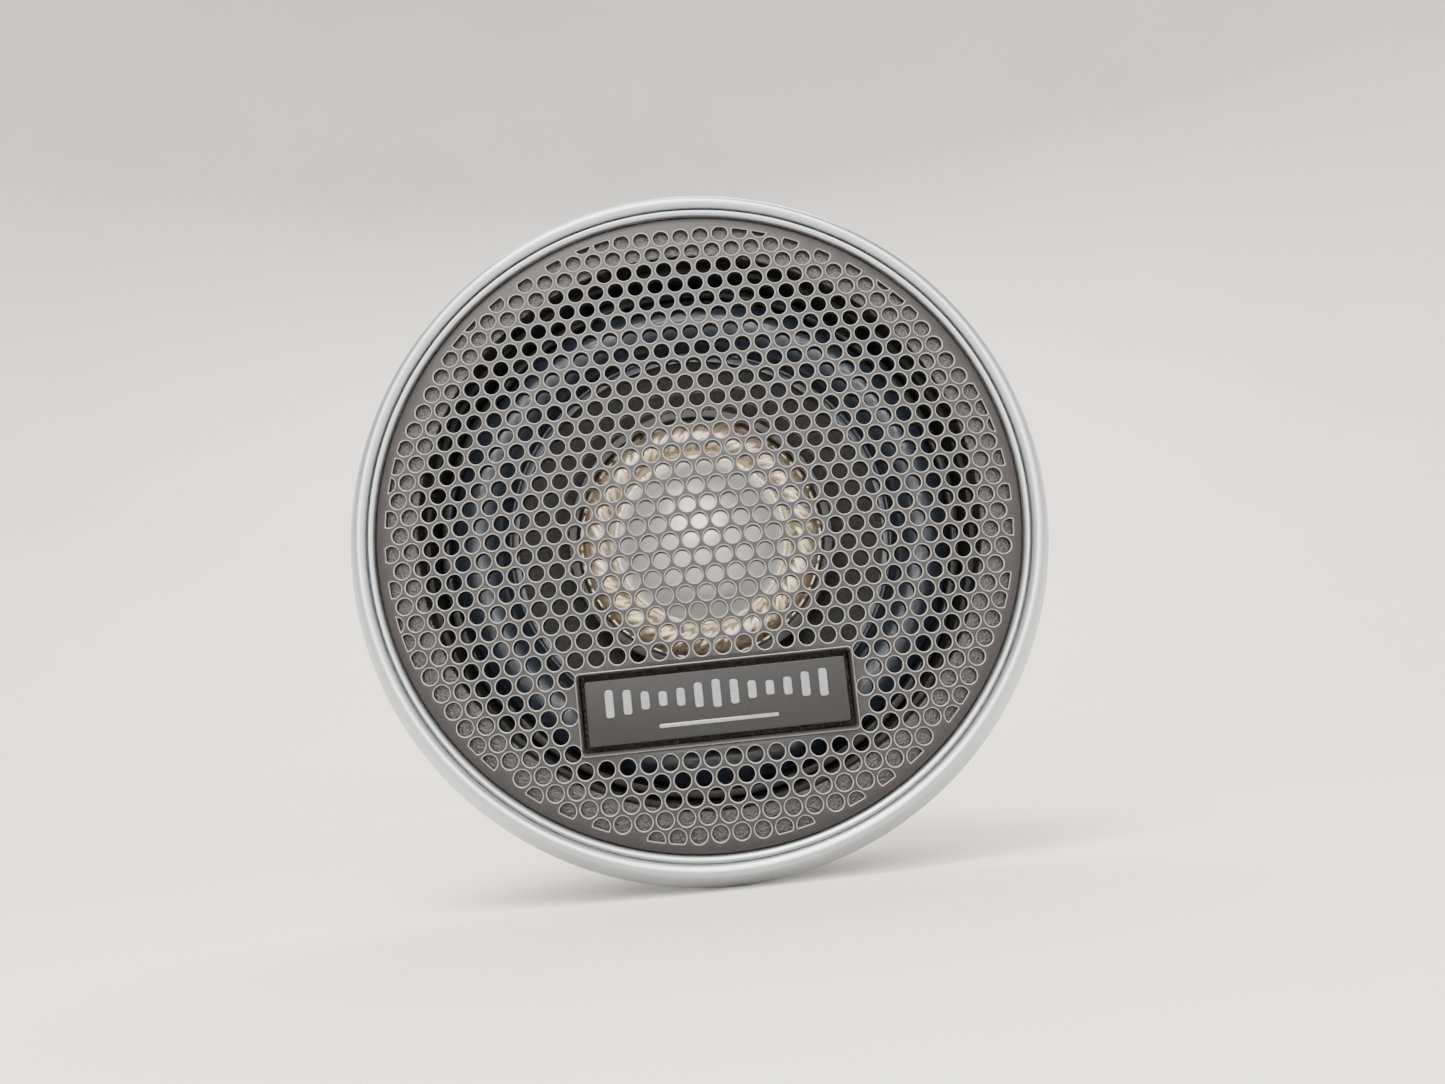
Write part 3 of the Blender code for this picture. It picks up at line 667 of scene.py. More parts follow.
def holeOutline(centre, inset):
    # A hole's edge, cut off along the field's border where it crosses it.
    sides = grille["sides"]
    radius = grille["holeRadius"] + grille["lip"] - inset
    limit = grille["field"] + grille["lip"] - inset
    away = math.hypot(*centre)
    outward = math.atan2(centre[1], centre[0])
    if away + radius <= limit:
        return [onCircle(radius, outward + turnRound * i / sides, centre) for i in range(sides)]
    # Half-angles of the crossing points, seen from the hole and from the axis.
    along = (away ** 2 + limit ** 2 - radius ** 2) / (2 * away)
    fromHole = math.acos((along - away) / radius)
    fromAxis = math.acos(along / limit)
    straight = sides // 3
    bent = sides - straight
    points = []
    for i in range(bent):
        angle = outward + fromHole + (turnRound - 2 * fromHole) * i / (bent - 1)
        points.append(onCircle(radius, angle, centre))
    for i in range(1, straight + 1):
        points.append(onCircle(limit, outward - fromAxis + 2 * fromAxis * i / (straight + 1)))
    return points


def holeCentres():
    pitch, radius = grille["pitch"], grille["holeRadius"]
    rows, columns = grille["rows"], grille["columns"]
    clearWidth, clearHeight = (size / 2 + radius * 0.9 for size in badge["outer"])
    centres = []
    for row in range(-rows, rows + 1):
        for column in range(-columns, columns + 1):
            x = grille["firstHole"][0] + pitch * (column + (row % 2) / 2)
            z = grille["firstHole"][1] + pitch * math.sqrt(3) / 2 * row
            underBadge = abs(x) < clearWidth and abs(z - badge["height"]) < clearHeight
            outside = math.hypot(x, z) - radius > grille["field"] - grille["leastDepth"]
            if not underBadge and not outside:
                centres.append((x, z))
    return centres


def rimOutline():
    # The grille's outer edge and the thick rim behind it.
    edge, outer, rim, floor = grille["edge"], grille["outer"], grille["rim"], grille["floor"]
    ledge, rear, step = grilleBack["ledge"], grilleBack["rear"], grilleBack["step"]
    corners = [(outer, grilleBack["skirt"]), (outer, step), (ledge, step), (ledge, rear), (rim, rear)]
    for radius in (rim, rim + grilleBack["shoulder"], grilleBack["floorEdge"]):
        corners.append((radius, faceDepth(radius) + floor))
    front = [(edge, faceDepth(edge)), (outer - 0.1, faceDepth(outer) + 0.05),
             (outer, faceDepth(outer) + 0.25)]
    return front + softened(corners, grilleBack["rounding"], closed=False, segments=4)


def grilleMesh():
    # The front and back faces are triangulated round all the holes; each hole then gets
    # a rounded lip and a wall, and the thick rim is turned on behind.
    lip, steps, thickness = grille["lip"], grille["borderSteps"], grille["thickness"]
    border = [onCircle(grille["edge"], turnRound * i / steps) for i in range(steps)]
    width, height = badge["outer"]
    window = [(x, z + badge["height"]) for x, z in roundedRect(width - 0.5, height - 0.5, 0.4)]
    centres = holeCentres()
    points, loops = [], []
    for outline in [border, window] + [holeOutline(centre, 0) for centre in centres]:
        loops.append(list(range(len(points), len(points) + len(outline))))
        points += [Vector(point) for point in outline]
    flat, _, faces, sources, _, origins = delaunay_2d_cdt(points, [], loops, 1, 1e-6, True)
    newIndex = {old: index for index, source in enumerate(sources) for old in source}

    shape = bmesh.new()
    paintedHighlight = shape.verts.layers.float.new("lip")
    front = [addPoint(shape, x, faceDepth(x, z), z) for x, z in flat]
    back = [addPoint(shape, x, faceDepth(x, z) + thickness, z) for x, z in flat]
    for face, origin in zip(faces, origins):
        if list(origin) == [0]:
            shape.faces.new([front[i] for i in face])
            shape.faces.new([back[i] for i in reversed(face)])
    # The lip's inset and depth, ring by ring; the last ring lies in the back face.
    profile = [(lip * 0.3, lip * 0.1), (lip * 0.68, lip * 0.36), (lip * 0.93, lip * 0.8), (lip, lip * 1.4)]
    for centre, loop in zip(centres, loops[2:]):
        above = [front[newIndex[i]] for i in loop]
        for i, corner in enumerate(above):
            edge = shape.edges.get((corner, above[(i + 1) % len(above)]))
            if edge:
                edge.smooth = False
        rings = []
        for inset, depth in profile:
            ring = [addPoint(shape, x, faceDepth(x, z) + depth, z) for x, z in holeOutline(centre, inset)]
            for corner in ring:
                # The two rings nearest the face carry the painted highlight.
                corner[paintedHighlight] = 1.0 if depth < lip * 0.5 else 0.0
            rings.append(ring)
        below = [back[newIndex[i]] for i in loop]
        for corner, (x, z) in zip(below, holeOutline(centre, lip + 0.02)):
            corner.co = (x * mm, (faceDepth(x, z) + thickness) * mm, z * mm)
        for ring in rings + [below]:
            for i in range(len(ring)):
                j = (i + 1) % len(ring)
                shape.faces.new((above[i], above[j], ring[j], ring[i]))
            above = ring

    shape.from_mesh(turnedMesh("rim", rimOutline(), steps, closed=False))
    bmesh.ops.remove_doubles(shape, verts=shape.verts, dist=1e-6)
    return asMesh("grille", shape)


def steppedLoops(size, steps):
    # Rounded rectangles on the badge's slope; each step is (inset, corner, depth).
    return [[(x, depth, z) for x, z in roundedRect(size[0] - inset, size[1] - inset, corner)]
            for inset, corner, depth in steps]


def badgePlane():
    # Badge parts are drawn flat, then laid on the slope of the dome.
    height = badge["height"]
    tilt = math.atan(2 * grille["bulge"] * abs(height))
    return shift(0, faceDepth(0, height), height) @ rotated(tilt, "X")


def badgeFrameMesh():
    corner, land, slope, pocket = badge["corner"], badge["land"], badge["slope"], badge["pocket"]
    loops = steppedLoops(badge["outer"], [
        (0, corner, pocket - 0.1), (0, corner, land + 0.14), (0.08, corner, land + 0.04),
        (0.22, corner - 0.05, land), (0.4, corner - 0.1, land + 0.02),
        (slope + 0.4, corner - 0.2, land + 0.26), (slope + 0.5, corner - 0.2, land + 0.36),
        (slope + 0.55, corner - 0.2, pocket)])
    mesh = loftMesh("badgeFrame", loops, caps=[-1])
    # The frame's rounded outer edge gets a painted highlight, like the lips of the holes.
    paintedEdgeHighlight = [1.0 if loop in (1, 2) else 0.0 for loop in range(len(loops)) for _ in loops[0]]
    mesh.attributes.new("lip", "FLOAT", "POINT").data.foreach_set("value", paintedEdgeHighlight)
    return moved(mesh, badgePlane())


def badgePlateMesh():
    top = badge["plateTop"]
    loops = steppedLoops(badge["plate"], [
        (-0.1, 0.3, badge["pocket"] - 0.1), (-0.06, 0.3, top + badge["plateDrop"]),
        (0.1, 0.28, top + 0.02), (0.3, 0.2, top)])
    return moved(loftMesh("badgePlate", loops), badgePlane())


def badgeMarksMesh():
    # Plain raised bars, like a level meter, over one thin line.
    top, rise, low = badge["plateTop"], marks["rise"], marks["low"]
    middle = (marks["count"] - 1) / 2
    bars = []
    for i in range(marks["count"]):
        share = 0.5 + 0.5 * math.cos((i - middle) / middle * math.pi * 2)
        tall = low + (marks["tall"] - low) * (0.25 + 0.75 * share)
        bars.append(((i - middle) * marks["pitch"], marks["middle"], marks["width"], tall))
    bars.append((0, marks["linePlace"], marks["lineWidth"], marks["lineHeight"]))
    meshes = []
    for x, z, width, tall in bars:
        loops = []
        for inset, depth in ((0, top + 0.02), (0, top - rise * 0.6), (0.1, top - rise)):
            corner = min(width, tall) / 2 * 0.6 - inset / 2
            loop = roundedRect(width - inset, tall - inset, corner, 3)
            loops.append([(x + dx, depth, z + dz) for dx, dz in loop])
        meshes.append(loftMesh("bar", loops))
    return moved(joinedMesh("badgeMarks", meshes), badgePlane())


def buildGrille():
    addPiece("grillePlate", grilleMesh(), "grille_plastic", nodes=["grille"], sharp=0)
    addPiece("badgeFrame", badgeFrameMesh(), "grille_plastic", sharp=30)
    addPiece("badgePlate", badgePlateMesh(), "badge_gloss", nodes=["badge_plate"], sharp=30)
    addPiece("badgeMarks", badgeMarksMesh(), "spring_steel", sharp=35)
    print("grille: holes", len(holeCentres()))


# --- trim ring and foam ---
trimRing = {
    "lips": [(37.9, -1.4), (37.82, -4.2), (37.87, -4.52), (37.96, -4.78), (38.07, -4.84), (38.13, -4.89),
             (38.26, -4.95), (38.4, -4.93), (38.47, -4.82), (38.5, -3.7), (38.7, -3.7), (38.72, -4.86),
             (38.76, -5.02), (38.86, -5.18), (39.0, -5.32), (39.2, -5.44), (39.45, -5.5)],
    "flank": [(39.7, -5.46), (39.94, -5.28), (40.15, -4.98), (40.36, -4.55), (40.6, -4.0), (40.9, -3.25),
              (41.16, -2.55), (41.38, -1.9), (41.58, -1.2), (41.7, -0.65), (41.75, -0.3)],
    "back": [(41.75, 0.0), (40.4, 0.0), (40.4, -2.4), (38.9, -2.4), (38.9, -0.2), (37.0, -0.2), (37.0, -1.4)],
}
gasket = {"inner": 39.2, "outer": 40.1, "front": -2.1, "rear": 1.4, "waist": 0.2, "wobble": 0.09}


def buildTrimRing():
    flank = trimRing["flank"]
    outline = trimRing["lips"] + flank + softened([flank[-1]] + trimRing["back"], 0.15, closed=False)[1:]
    addPiece("trimRing", turnedMesh("trimRing", outline, 288), "silver_paint", nodes=["trim_ring"], sharp=50)

    def foamy(radius, depth, angle):
        x, z = onCircle(radius, angle)
        place, wobble = Vector((x, depth, z)), gasket["wobble"]
        return (radius + wobble * (noise.noise(place * 1.7) + noise.noise(place * 4.1) * 0.5),
                depth + wobble * noise.noise(place * 2.3 + Vector((7, 3, 1))))

    inner, outer = gasket["inner"], gasket["outer"]
    front, waist, rear = gasket["front"], gasket["waist"], gasket["rear"]
    corners = [(outer, front), (outer, waist), (outer, rear), (inner, rear), (inner, waist), (inner, front)]
    mesh = turnedMesh("panelGasket", softened(corners, 0.3), 300, ripple=foamy)
    piece = addPiece("panelGasket", mesh, "foam", nodes=["panel_gasket"])
    print("trim ring and gasket")


# --- cone driver, front side ---
coneShape = {"neck": (13.2, 13.6), "throat": (18.0, 10.2), "lip": (22.8, 6.3), "edge": 24.15,
             "thickness": 0.5, "ribs": 6, "press": 0.05, "pressStart": 14, "pressWidth": 8}
roll = {"inner": 24.0, "outer": 30.6, "depth": 5.55, "thickness": 0.45, "flange": 32.0, "start": 22.7,
        "bead": 23.65, "beadRadius": 0.24}


def buildCone():
    neck, throat, lip = coneShape["neck"], coneShape["throat"], coneShape["lip"]
    thickness, edge = coneShape["thickness"], coneShape["edge"]
    front = [neck, throat, lip, (edge, lip[1])]
    rear = [(edge, lip[1] + thickness), (lip[0] + 0.3, lip[1] + thickness),
            (throat[0] + 0.3, throat[1] + thickness), (neck[0] + 0.4, neck[1] + 0.6),
            (neck[0], neck[1] + 0.6)]
    outline = softened(front + rear, 1.2, segments=5)

    def pressed(radius, depth, angle):
        # Slight waves that the mould leaves in the paper.
        share = clamped((radius - coneShape["pressStart"]) / coneShape["pressWidth"])
        height = coneShape["press"] * share * (1 - share) * 4
        return radius, depth + height * math.sin(angle * coneShape["ribs"] + radius * 0.4)

    addPiece("paperCone", turnedMesh("paperCone", outline, 160, ripple=pressed), "paper_cone",
             "cone_assembly", ["cone"], 40)


def buildRoll():
    inner, outer, start, bead = roll["inner"], roll["outer"], roll["start"], roll["bead"]
    depth, flange = roll["depth"], roll["flange"]
    rear = depth + roll["thickness"]
    centre = ((inner + outer) / 2, depth)
    crest = (outer - inner) / 2
    outline = [(start, depth + 0.05), (bead - 0.35, depth + 0.02)]
    outline += arcPoints((bead - 0.02, depth), roll["beadRadius"], 170, 10, 6)
    outline += arcPoints(centre, crest, 176, 4, 30)
    outline += [(outer + 0.25, depth - 0.05), (flange, depth), (flange, rear), (outer - 0.2, rear)]
    outline += arcPoints(centre, crest - roll["thickness"], 0, 180, 22)
    outline += [(inner, rear), (start, rear)]
    piece = addPiece("coneSurround", turnedMesh("coneSurround", outline, 200), "surround_rubber",
                     None, ["cone_surround"], 60)
    blendByRadius(piece, inner, outer)
    print("cone")


# --- tweeter ---
dome = {"radius": 10.4, "apex": 3.4, "edge": 6.9, "wall": 0.12, "hem": 0.16}
film = {"inner": 10.8, "outer": 14.9, "flange": 16.2, "plane": 7.0, "centre": 8.0, "thickness": 0.15,
        "hem": 0.25, "folds": 60, "foldHeight": 0.13}
pad = {"radius": 7.9, "middle": 4, "front": 6.95, "rear": 7.85}


def domeOutline(inset, steps):
    rise = dome["edge"] - dome["apex"]
    ball = (dome["radius"] ** 2 + rise ** 2) / (2 * rise)
    radii = [dome["radius"] * i / steps for i in range(steps + 1)]
    centre = dome["apex"] + ball
    return [(radius, centre - math.sqrt((ball - inset) ** 2 - radius ** 2)) for radius in radii]


def buildDome():
    rim, edge, hem = dome["radius"], dome["edge"], dome["hem"]
    outline = domeOutline(0, 26)
    outline += [(rim + 0.12, edge + 0.02), (rim + 0.12, edge + hem), (rim - 0.1, edge + hem)]
    outline += domeOutline(dome["wall"], 20)[-2::-1]
    mesh = turnedMesh("tweeterDome", outline, 160, closed=False)
    addPiece("tweeterDome", mesh, "dome_metal", "tweeter_diaphragm", ["tweeter_dome"], 50)


def buildFilm():
    inner, outer, front = film["inner"], film["outer"], film["plane"]
    rear = front + film["thickness"]
    centre = ((inner + outer) / 2, film["centre"])
    drop = film["centre"] - front
    reach = math.hypot(outer - centre[0], drop)
    start = math.degrees(math.asin(drop / reach))
    outline = [(inner - film["hem"], front)] + arcPoints(centre, reach, 180 - start, start, 18)
    outline += [(film["flange"], front), (film["flange"], rear)]
    outline += arcPoints(centre, reach - film["thickness"], start, 180 - start, 12)
    outline += [(inner - film["hem"], rear)]

    def folded(radius, depth, angle):
        # Slanting folds that fade out at both edges of the roll.
        height = film["foldHeight"] * math.sin(clamped((radius - inner) / (outer - inner)) * math.pi) ** 0.7
        slant = angle + (radius - inner) / centre[0]
        crease = 1 - abs(math.sin(slant * film["folds"] / 2)) ** 0.8 * 2
        uneven = 0.75 + 0.25 * math.sin(angle * 7 + 1.3)
        return radius, depth + height * crease * uneven

    mesh = turnedMesh("tweeterFilm", outline, 720, ripple=folded)
    piece = addPiece("tweeterFilm", mesh, "champagne_film", None, ["tweeter_surround"], 60)
    blendByRadius(piece, inner, outer)


def buildDampingPad():
    def fuzzy(radius, depth, angle):
        x, z = onCircle(radius, angle)
        place = Vector((x, depth, z))
        return radius + 0.06 * noise.noise(place * 2.1), depth + 0.05 * noise.noise(place * 1.6)

    radius, middle, front, rear = pad["radius"], pad["middle"], pad["front"], pad["rear"]
    corners = [(0, front), (middle, front), (radius, front + 0.03), (radius, rear), (middle, rear), (0, rear)]
    outline = softened(corners, 0.25, closed=False)
    mesh = turnedMesh("dampingPad", outline, 96, closed=False, ripple=fuzzy)
    piece = addPiece("dampingPad", mesh, "felt", nodes=["tweeter_damping_pad"])
    print("tweeter")


# --- plain turned rings and coils ---
plainRings = {
    "surroundClampRing": {
        "node": "surround_clamp_ring", "slot": "ring_plastic", "steps": 200, "round": 0.2,
        "corners": [(30.8, 4.45), (31.1, 4.2), (32.0, 4.2), (32.0, 5.25), (30.8, 5.25)]},
    "tweeterFaceRing": {
        "node": "tweeter_face_ring", "slot": "ring_plastic", "steps": 144, "round": 0.18,
        "corners": [(15.1, 6.7), (15.1, 6.15), (15.5, 5.8), (16.45, 5.8), (16.6, 6.0), (16.6, 6.7)]},
    "tweeterHousing": {
        "node": "tweeter_housing", "slot": "basket_plastic", "steps": 144, "round": 0.25,
        "corners": [(16.6, 7.5), (16.6, 8.4), (13.4, 9.8), (12.0, 9.8), (12.0, 7.5)]},
    "tweeterYoke": {
        "node": "tweeter_yoke", "slot": "zinc_steel", "steps": 144, "round": 0.35,
        "corners": [(11.7, 8.2), (11.7, 14.3), (1.8, 14.3), (1.8, 12.8), (10.6, 12.8), (10.6, 8.2)]},
    "tweeterMagnet": {
        "node": "tweeter_magnet", "slot": "bright_magnet", "steps": 96, "round": 0.2,
        "corners": [(8.4, 10.0), (8.4, 12.5), (1.8, 12.5), (1.8, 10.0)]},
    "tweeterPolePlate": {
        "node": "tweeter_pole_plate", "slot": "zinc_steel", "steps": 96, "round": 0.2,
        "corners": [(9.4, 8.2), (9.4, 9.7), (1.8, 9.7), (1.8, 8.2)]},
    "coilFormer": {
        "node": "coil_former", "slot": "former_film", "steps": 144, "round": 0.06, "body": "cone_assembly",
        "corners": [(12.9, 13.4), (12.9, 25.6), (12.65, 25.6), (12.65, 13.4)]},
    "frontPlate": {
        "node": "front_plate", "slot": "plated_steel", "steps": 144, "round": 0.35,
        "corners": [(14.1, 20.9), (23.0, 20.9), (23.0, 24.4), (14.1, 24.4)]},
    "motorYoke": {
        "node": "yoke", "slot": "plated_steel", "steps": 144, "round": 0.25,
        "corners": [(12.3, 20.6), (12.3, 32.2), (13.1, 33.0), (22.8, 33.0), (22.8, 35.7), (22.0, 36.5),
                    (14.2, 36.5), (13.8, 36.15), (9.2, 36.15), (8.8, 36.5), (3.0, 36.5), (3.0, 20.6)]},
    "tweeterSpacer": {
        "node": "tweeter_spacer", "slot": "basket_plastic", "steps": 64, "round": 0.2,
        "corners": [(3.0, 15.9), (6.0, 15.9), (6.0, 20.3), (3.0, 20.3)]},
    "postWasher": {
        "node": "post_washer", "slot": "zinc_steel", "steps": 72, "round": 0.14,
        "corners": [(3.0, 36.8), (5.6, 36.8), (5.6, 37.4), (3.0, 37.4)]},
}
# The wire's crests and grooves are the two radii of "wound".
coils = {
    "tweeterCoil": {
        "node": "tweeter_coil", "body": "tweeter_diaphragm", "inner": 9.75, "wound": (10.2, 10.25),
        "depths": (7.25, 10.6), "turns": 30, "steps": 96},
    "coilWinding": {
        "node": "coil_winding", "body": "cone_assembly", "inner": 13.2, "wound": (13.75, 13.68),
        "depths": (19.2, 25.2), "turns": 48, "steps": 120},
}


def buildRingsAndCoils():
    for name, ring in plainRings.items():
        mesh = turnedMesh(name, softened(ring["corners"], ring["round"]), ring["steps"])
        addPiece(name, mesh, ring["slot"], ring.get("body", "chassis"), [ring["node"]])
    for name, coil in coils.items():
        front, rear = coil["depths"]
        turns = coil["turns"]
        outline = [(coil["wound"][i % 2], front + (rear - front) * i / turns) for i in range(turns + 1)]
        outline += [(coil["inner"], rear), (coil["inner"], front)]
        mesh = turnedMesh(name, outline, coil["steps"])
        addPiece(name, mesh, "copper_wire", coil["body"], [coil["node"]], 60)
    print("rings and coils:", len(plainRings) + len(coils))


# --- spider, ferrite and post ---
spider = {"inner": 13.2, "start": 14.0, "flat": 20.0, "outer": 21.6, "depth": 16.8, "wave": 0.5, "waves": 2,
          "thickness": 0.28, "points": 32}
magnet = {"inner": 15.5, "outer": 24.6, "front": 24.7, "rear": 32.7, "waist": (27.0, 30.4), "edge": 0.55,
          "bite": 0.5, "unbroken": 0.28}
post = {"threads": 13, "threadStart": 36.9, "pitch": 0.3, "crest": 2.6, "root": 2.42}
nut = {"front": 37.7, "rear": 39.9, "corner": 4.6,
       "turnedOff": [(0, 37.6), (3.9, 37.6), (4.7, 38.1), (4.7, 39.5), (3.9, 40.0), (0, 40.0)],
       "bore": [(0, 37.0), (3.3, 37.0), (3.3, 37.6), (2.9, 38.0), (2.9, 39.6), (3.3, 40.0), (3.3, 41.0),
                (0, 41.0)]}


def buildSpider():
    start, flat, depth, points = spider["start"], spider["flat"], spider["depth"], spider["points"]
    front = [(spider["inner"], depth)]
    for i in range(points + 1):
        wave = spider["wave"] * math.sin(spider["waves"] * turnRound * i / points)
        front.append((start + (flat - start) * i / points, depth + wave))
    front.append((spider["outer"], depth))
    rear = [(radius, place + spider["thickness"]) for radius, place in reversed(front)]
    mesh = turnedMesh("spider", front + rear, 160)
    piece = addPiece("spiderDisc", mesh, "spider_cloth", None, ["spider"], 60)
    blendByRadius(piece, start, flat)


def buildMagnet():
    inner, outer, front, rear = magnet["inner"], magnet["outer"], magnet["front"], magnet["rear"]

    def chipped(radius, depth, angle):
        # Sintered edges are a little uneven.
        x, z = onCircle(radius, angle)
        place = Vector((x, depth * 1.3, z))
        nearEdge = radius > outer - 0.6 and min(abs(depth - front), abs(depth - rear)) < magnet["edge"]
        bite = max(noise.noise(place * 0.9) - magnet["unbroken"], 0) * magnet["bite"] if nearEdge else 0
        return radius - bite, depth

    corners = [(outer, depth) for depth in (front, *magnet["waist"], rear)] + [(inner, rear), (inner, front)]
    mesh = turnedMesh("magnetRing", softened(corners, 0.45, segments=4), 240, ripple=chipped)
    addPiece("magnetRing", mesh, "ferrite", nodes=["magnet_ring"])


def buildPost():
    crest, pitch = post["crest"], post["pitch"]
    outline = [(4.9, 14.6), (5.0, 14.7), (5.0, 15.5), (4.9, 15.6), (crest, 15.6)]
    for i in range(post["threads"]):
        depth = post["threadStart"] + pitch * i
        outline += [(crest, depth), (post["root"], depth + pitch / 2)]
    outline += [(2.3, 40.6), (1.4, 40.6), (1.4, 14.6)]
    addPiece("tweeterPost", turnedMesh("post", outline, 64), "zinc_steel", nodes=["tweeter_post"], sharp=30)
    # A six-sided bar, with the corners turned off both ends and a round bore.
    bar = moved(rodMesh("bar", nut["corner"], nut["front"], nut["rear"], 6), rotated(math.pi / 6))
    turnedOff = turnedMesh("turnedOff", nut["turnedOff"], 72, closed=False)
    bore = turnedMesh("bore", nut["bore"], 48, closed=False)
    addPiece("postNut", carved(bar, [(turnedOff, "INTERSECT"), (bore, "DIFFERENCE")]), "zinc_steel",
             nodes=["post_nut"], sharp=24)
    print("motor and post")


# --- basket ---
basket = {
    "barrel": 33.7, "turnDepth": 7.9, "wall": 1.6, "windows": 12, "windowLength": 9.0,
    "windowWidths": (7.4, 5.4), "windowDepth": 12.2, "windowCorner": 1.1, "steps": 144, "shelf": 17.4,
    "clipAngles": (30, 150, 270), "screwAngles": (60, 180, 300), "screwCircle": 35.75, "padWidth": 7.2,
    "clipPad": (35.4, 1.6, 14.8), "boardPad": (34.6, 5.0, 13.4), "rivetRadius": 1.4, "rivetDepth": 11.4,
}


def slopeRadius(depth, inset=0.0):
    return basket["barrel"] + basket["turnDepth"] - inset * math.sqrt(2) - depth


def prismMesh(outline, halfWidth, rounding=0.0):
    # A flat outline of (radius, depth), thickened to both sides of the 0 degree plane.
    points = [Vector(point) for point in outline]
    middle = Vector((sum(point.x for point in points), sum(point.y for point in points))) / len(points)
    loops = []
    for inset, z in ((rounding, -halfWidth), (0, rounding - halfWidth), (0, halfWidth - rounding),
                     (rounding, halfWidth)):
        loops.append([(*(point + (middle - point).normalized() * inset), z) for point in points])
    return loftMesh("prism", loops)


def windowMesh(degrees):
    # A keystone with round corners, cut square through the sloping wall.
    length, depth = basket["windowLength"], basket["windowDepth"]
    wide, narrow = basket["windowWidths"]
    loops = []
    for height in (-3.4, 3.4):
        loops.append([(x, height, z * (narrow + (wide - narrow) * (0.5 + x / length)) / wide)
                      for x, z in roundedRect(length, wide, basket["windowCorner"], 4)])
    middle = slopeRadius(depth, basket["wall"] / 2)
    place = spin(degrees) @ shift(middle, depth, 0) @ rotated(-math.pi / 4, "Z")
    return moved(loftMesh("window", loops), place)


def padMesh(degrees, size):
    outer, front, rear = size
    root = slopeRadius(rear, basket["wall"] * 0.3)
    outline = softened([(outer, front), (outer, rear), (root, rear), (33.0, 8.3), (33.0, front)], 0.5)
    return moved(prismMesh(outline, basket["padWidth"] / 2, 0.25), spin(degrees))


def ribMesh(degrees):
    # A thin web that runs down the wall between two windows.
    foot = slopeRadius(basket["shelf"])
    outline = [(34.2, 7.0), (34.2, 8.0), (foot + 0.7, 17.6), (foot - 1.2, 17.4), (32.8, 8.2)]
    return moved(prismMesh(outline, 0.55), spin(degrees))


def buildBasket():
    wall, shelf, barrel, turn = basket["wall"], basket["shelf"], basket["barrel"], basket["turnDepth"]
    corners = [
        (37.6, 0.1), (37.6, 2.1), (barrel, 2.1), (barrel, turn), (slopeRadius(17.0), 17.0), (24.9, 23.4),
        (23.3, 23.4), (23.3, 20.6), (19.6, 20.6), (19.6, shelf), (slopeRadius(shelf, wall), shelf),
        (slopeRadius(7.8, wall), 7.8), (30.6, 7.8), (30.6, 6.3), (32.3, 6.3), (32.3, 0.1),
    ]
    cuts = [(padMesh(degrees, basket["clipPad"]), "UNION") for degrees in basket["clipAngles"]]
    cuts.append((padMesh(90, basket["boardPad"]), "UNION"))
    step = 360 / basket["windows"]
    for number in range(basket["windows"]):
        cuts.append((windowMesh((number + 0.5) * step), "DIFFERENCE"))
        if number * step % 90 and number * step not in basket["clipAngles"]:
            cuts.append((ribMesh(number * step), "UNION"))
    for degrees in basket["clipAngles"]:
        hole = rodMesh("hole", basket["rivetRadius"], 31.0, 37.0)
        cuts.append((moved(hole, outwards(degrees, basket["rivetDepth"])), "DIFFERENCE"))
    body = turnedMesh("basket", softened(corners, 0.4), basket["steps"])
    addPiece("basket", carved(body, cuts), "basket_plastic", nodes=["basket"], sharp=32)
    print("basket")


# --- fasteners ---
clip = {"width": 7.0, "thickness": 0.5, "endRadius": 0.9,
        "bends": [(35.95, 14.2), (35.95, 8.6), (39.35, 4.9), (39.2, 4.2), (37.6, 3.35)]}
rivet = {"base": 36.5, "outline": [(0, 1.1), (0.8, 1.05), (1.4, 0.85), (1.9, 0.5), (2.1, 0.12), (2.05, 0),
                                   (1.0, 0), (1.0, -3.3), (0, -3.3)]}
screw = {"head": [(0.75, 2.35), (1.7, 2.4), (1.7, 3.0), (1.62, 3.4), (1.35, 3.75), (0.9, 3.9), (0, 3.9)],
         "tip": [(0, -3.2), (0.45, -3.1)], "threads": 9, "root": 0.62, "crest": 0.9, "pitch": 0.55,
         "recess": (0.95, 0.9)}
boardScrew = {"height": 31.4, "recess": (0.85, 0.5), "outline": [
    (0, 10.2), (0.8, 10.8), (0.8, 15.0), (1.5, 15.0), (1.5, 15.5), (1.3, 15.8), (0.9, 15.9), (0, 15.9)]}


def recessedScrew(name, outline, recess):
    # A turned screw with a cross recess, of this radius and depth, in its rear end.
    reach, deep = recess
    rear = max(depth for _, depth in outline)
    loops = []
    for depth, share in ((rear - deep, 0.45), (rear + 0.3, 1.0)):
        loops.append([(sx * reach * share, depth, sz * reach * 0.24)
                      for sx, sz in ((1, 1), (-1, 1), (-1, -1), (1, -1))])
    return carved(turnedMesh(name, outline, 48, closed=False), crossCuts(loftMesh("blade", loops)))


def clipMesh():
    points = [Vector(point) for point in softened(clip["bends"], 0.9, closed=False, segments=6)]
    total = sum((b - a).length for a, b in zip(points, points[1:]))
    loops, run = [], 0.0
    for i, here in enumerate(points):
        if i:
            run += (here - points[i - 1]).length
        ahead = heading(points, i)
        # The strip's corners are rounded off at both ends.
        end = clip["endRadius"]
        trim = end - math.sqrt(max(end ** 2 - max(end - min(run, total - run), 0) ** 2, 0))
        section = roundedRect(clip["thickness"], clip["width"] - 2 * trim, 0.1, 2)
        loops.append([(here.x + ahead.y * a, here.y - ahead.x * a, b) for a, b in section])
    return loftMesh("clip", loops)


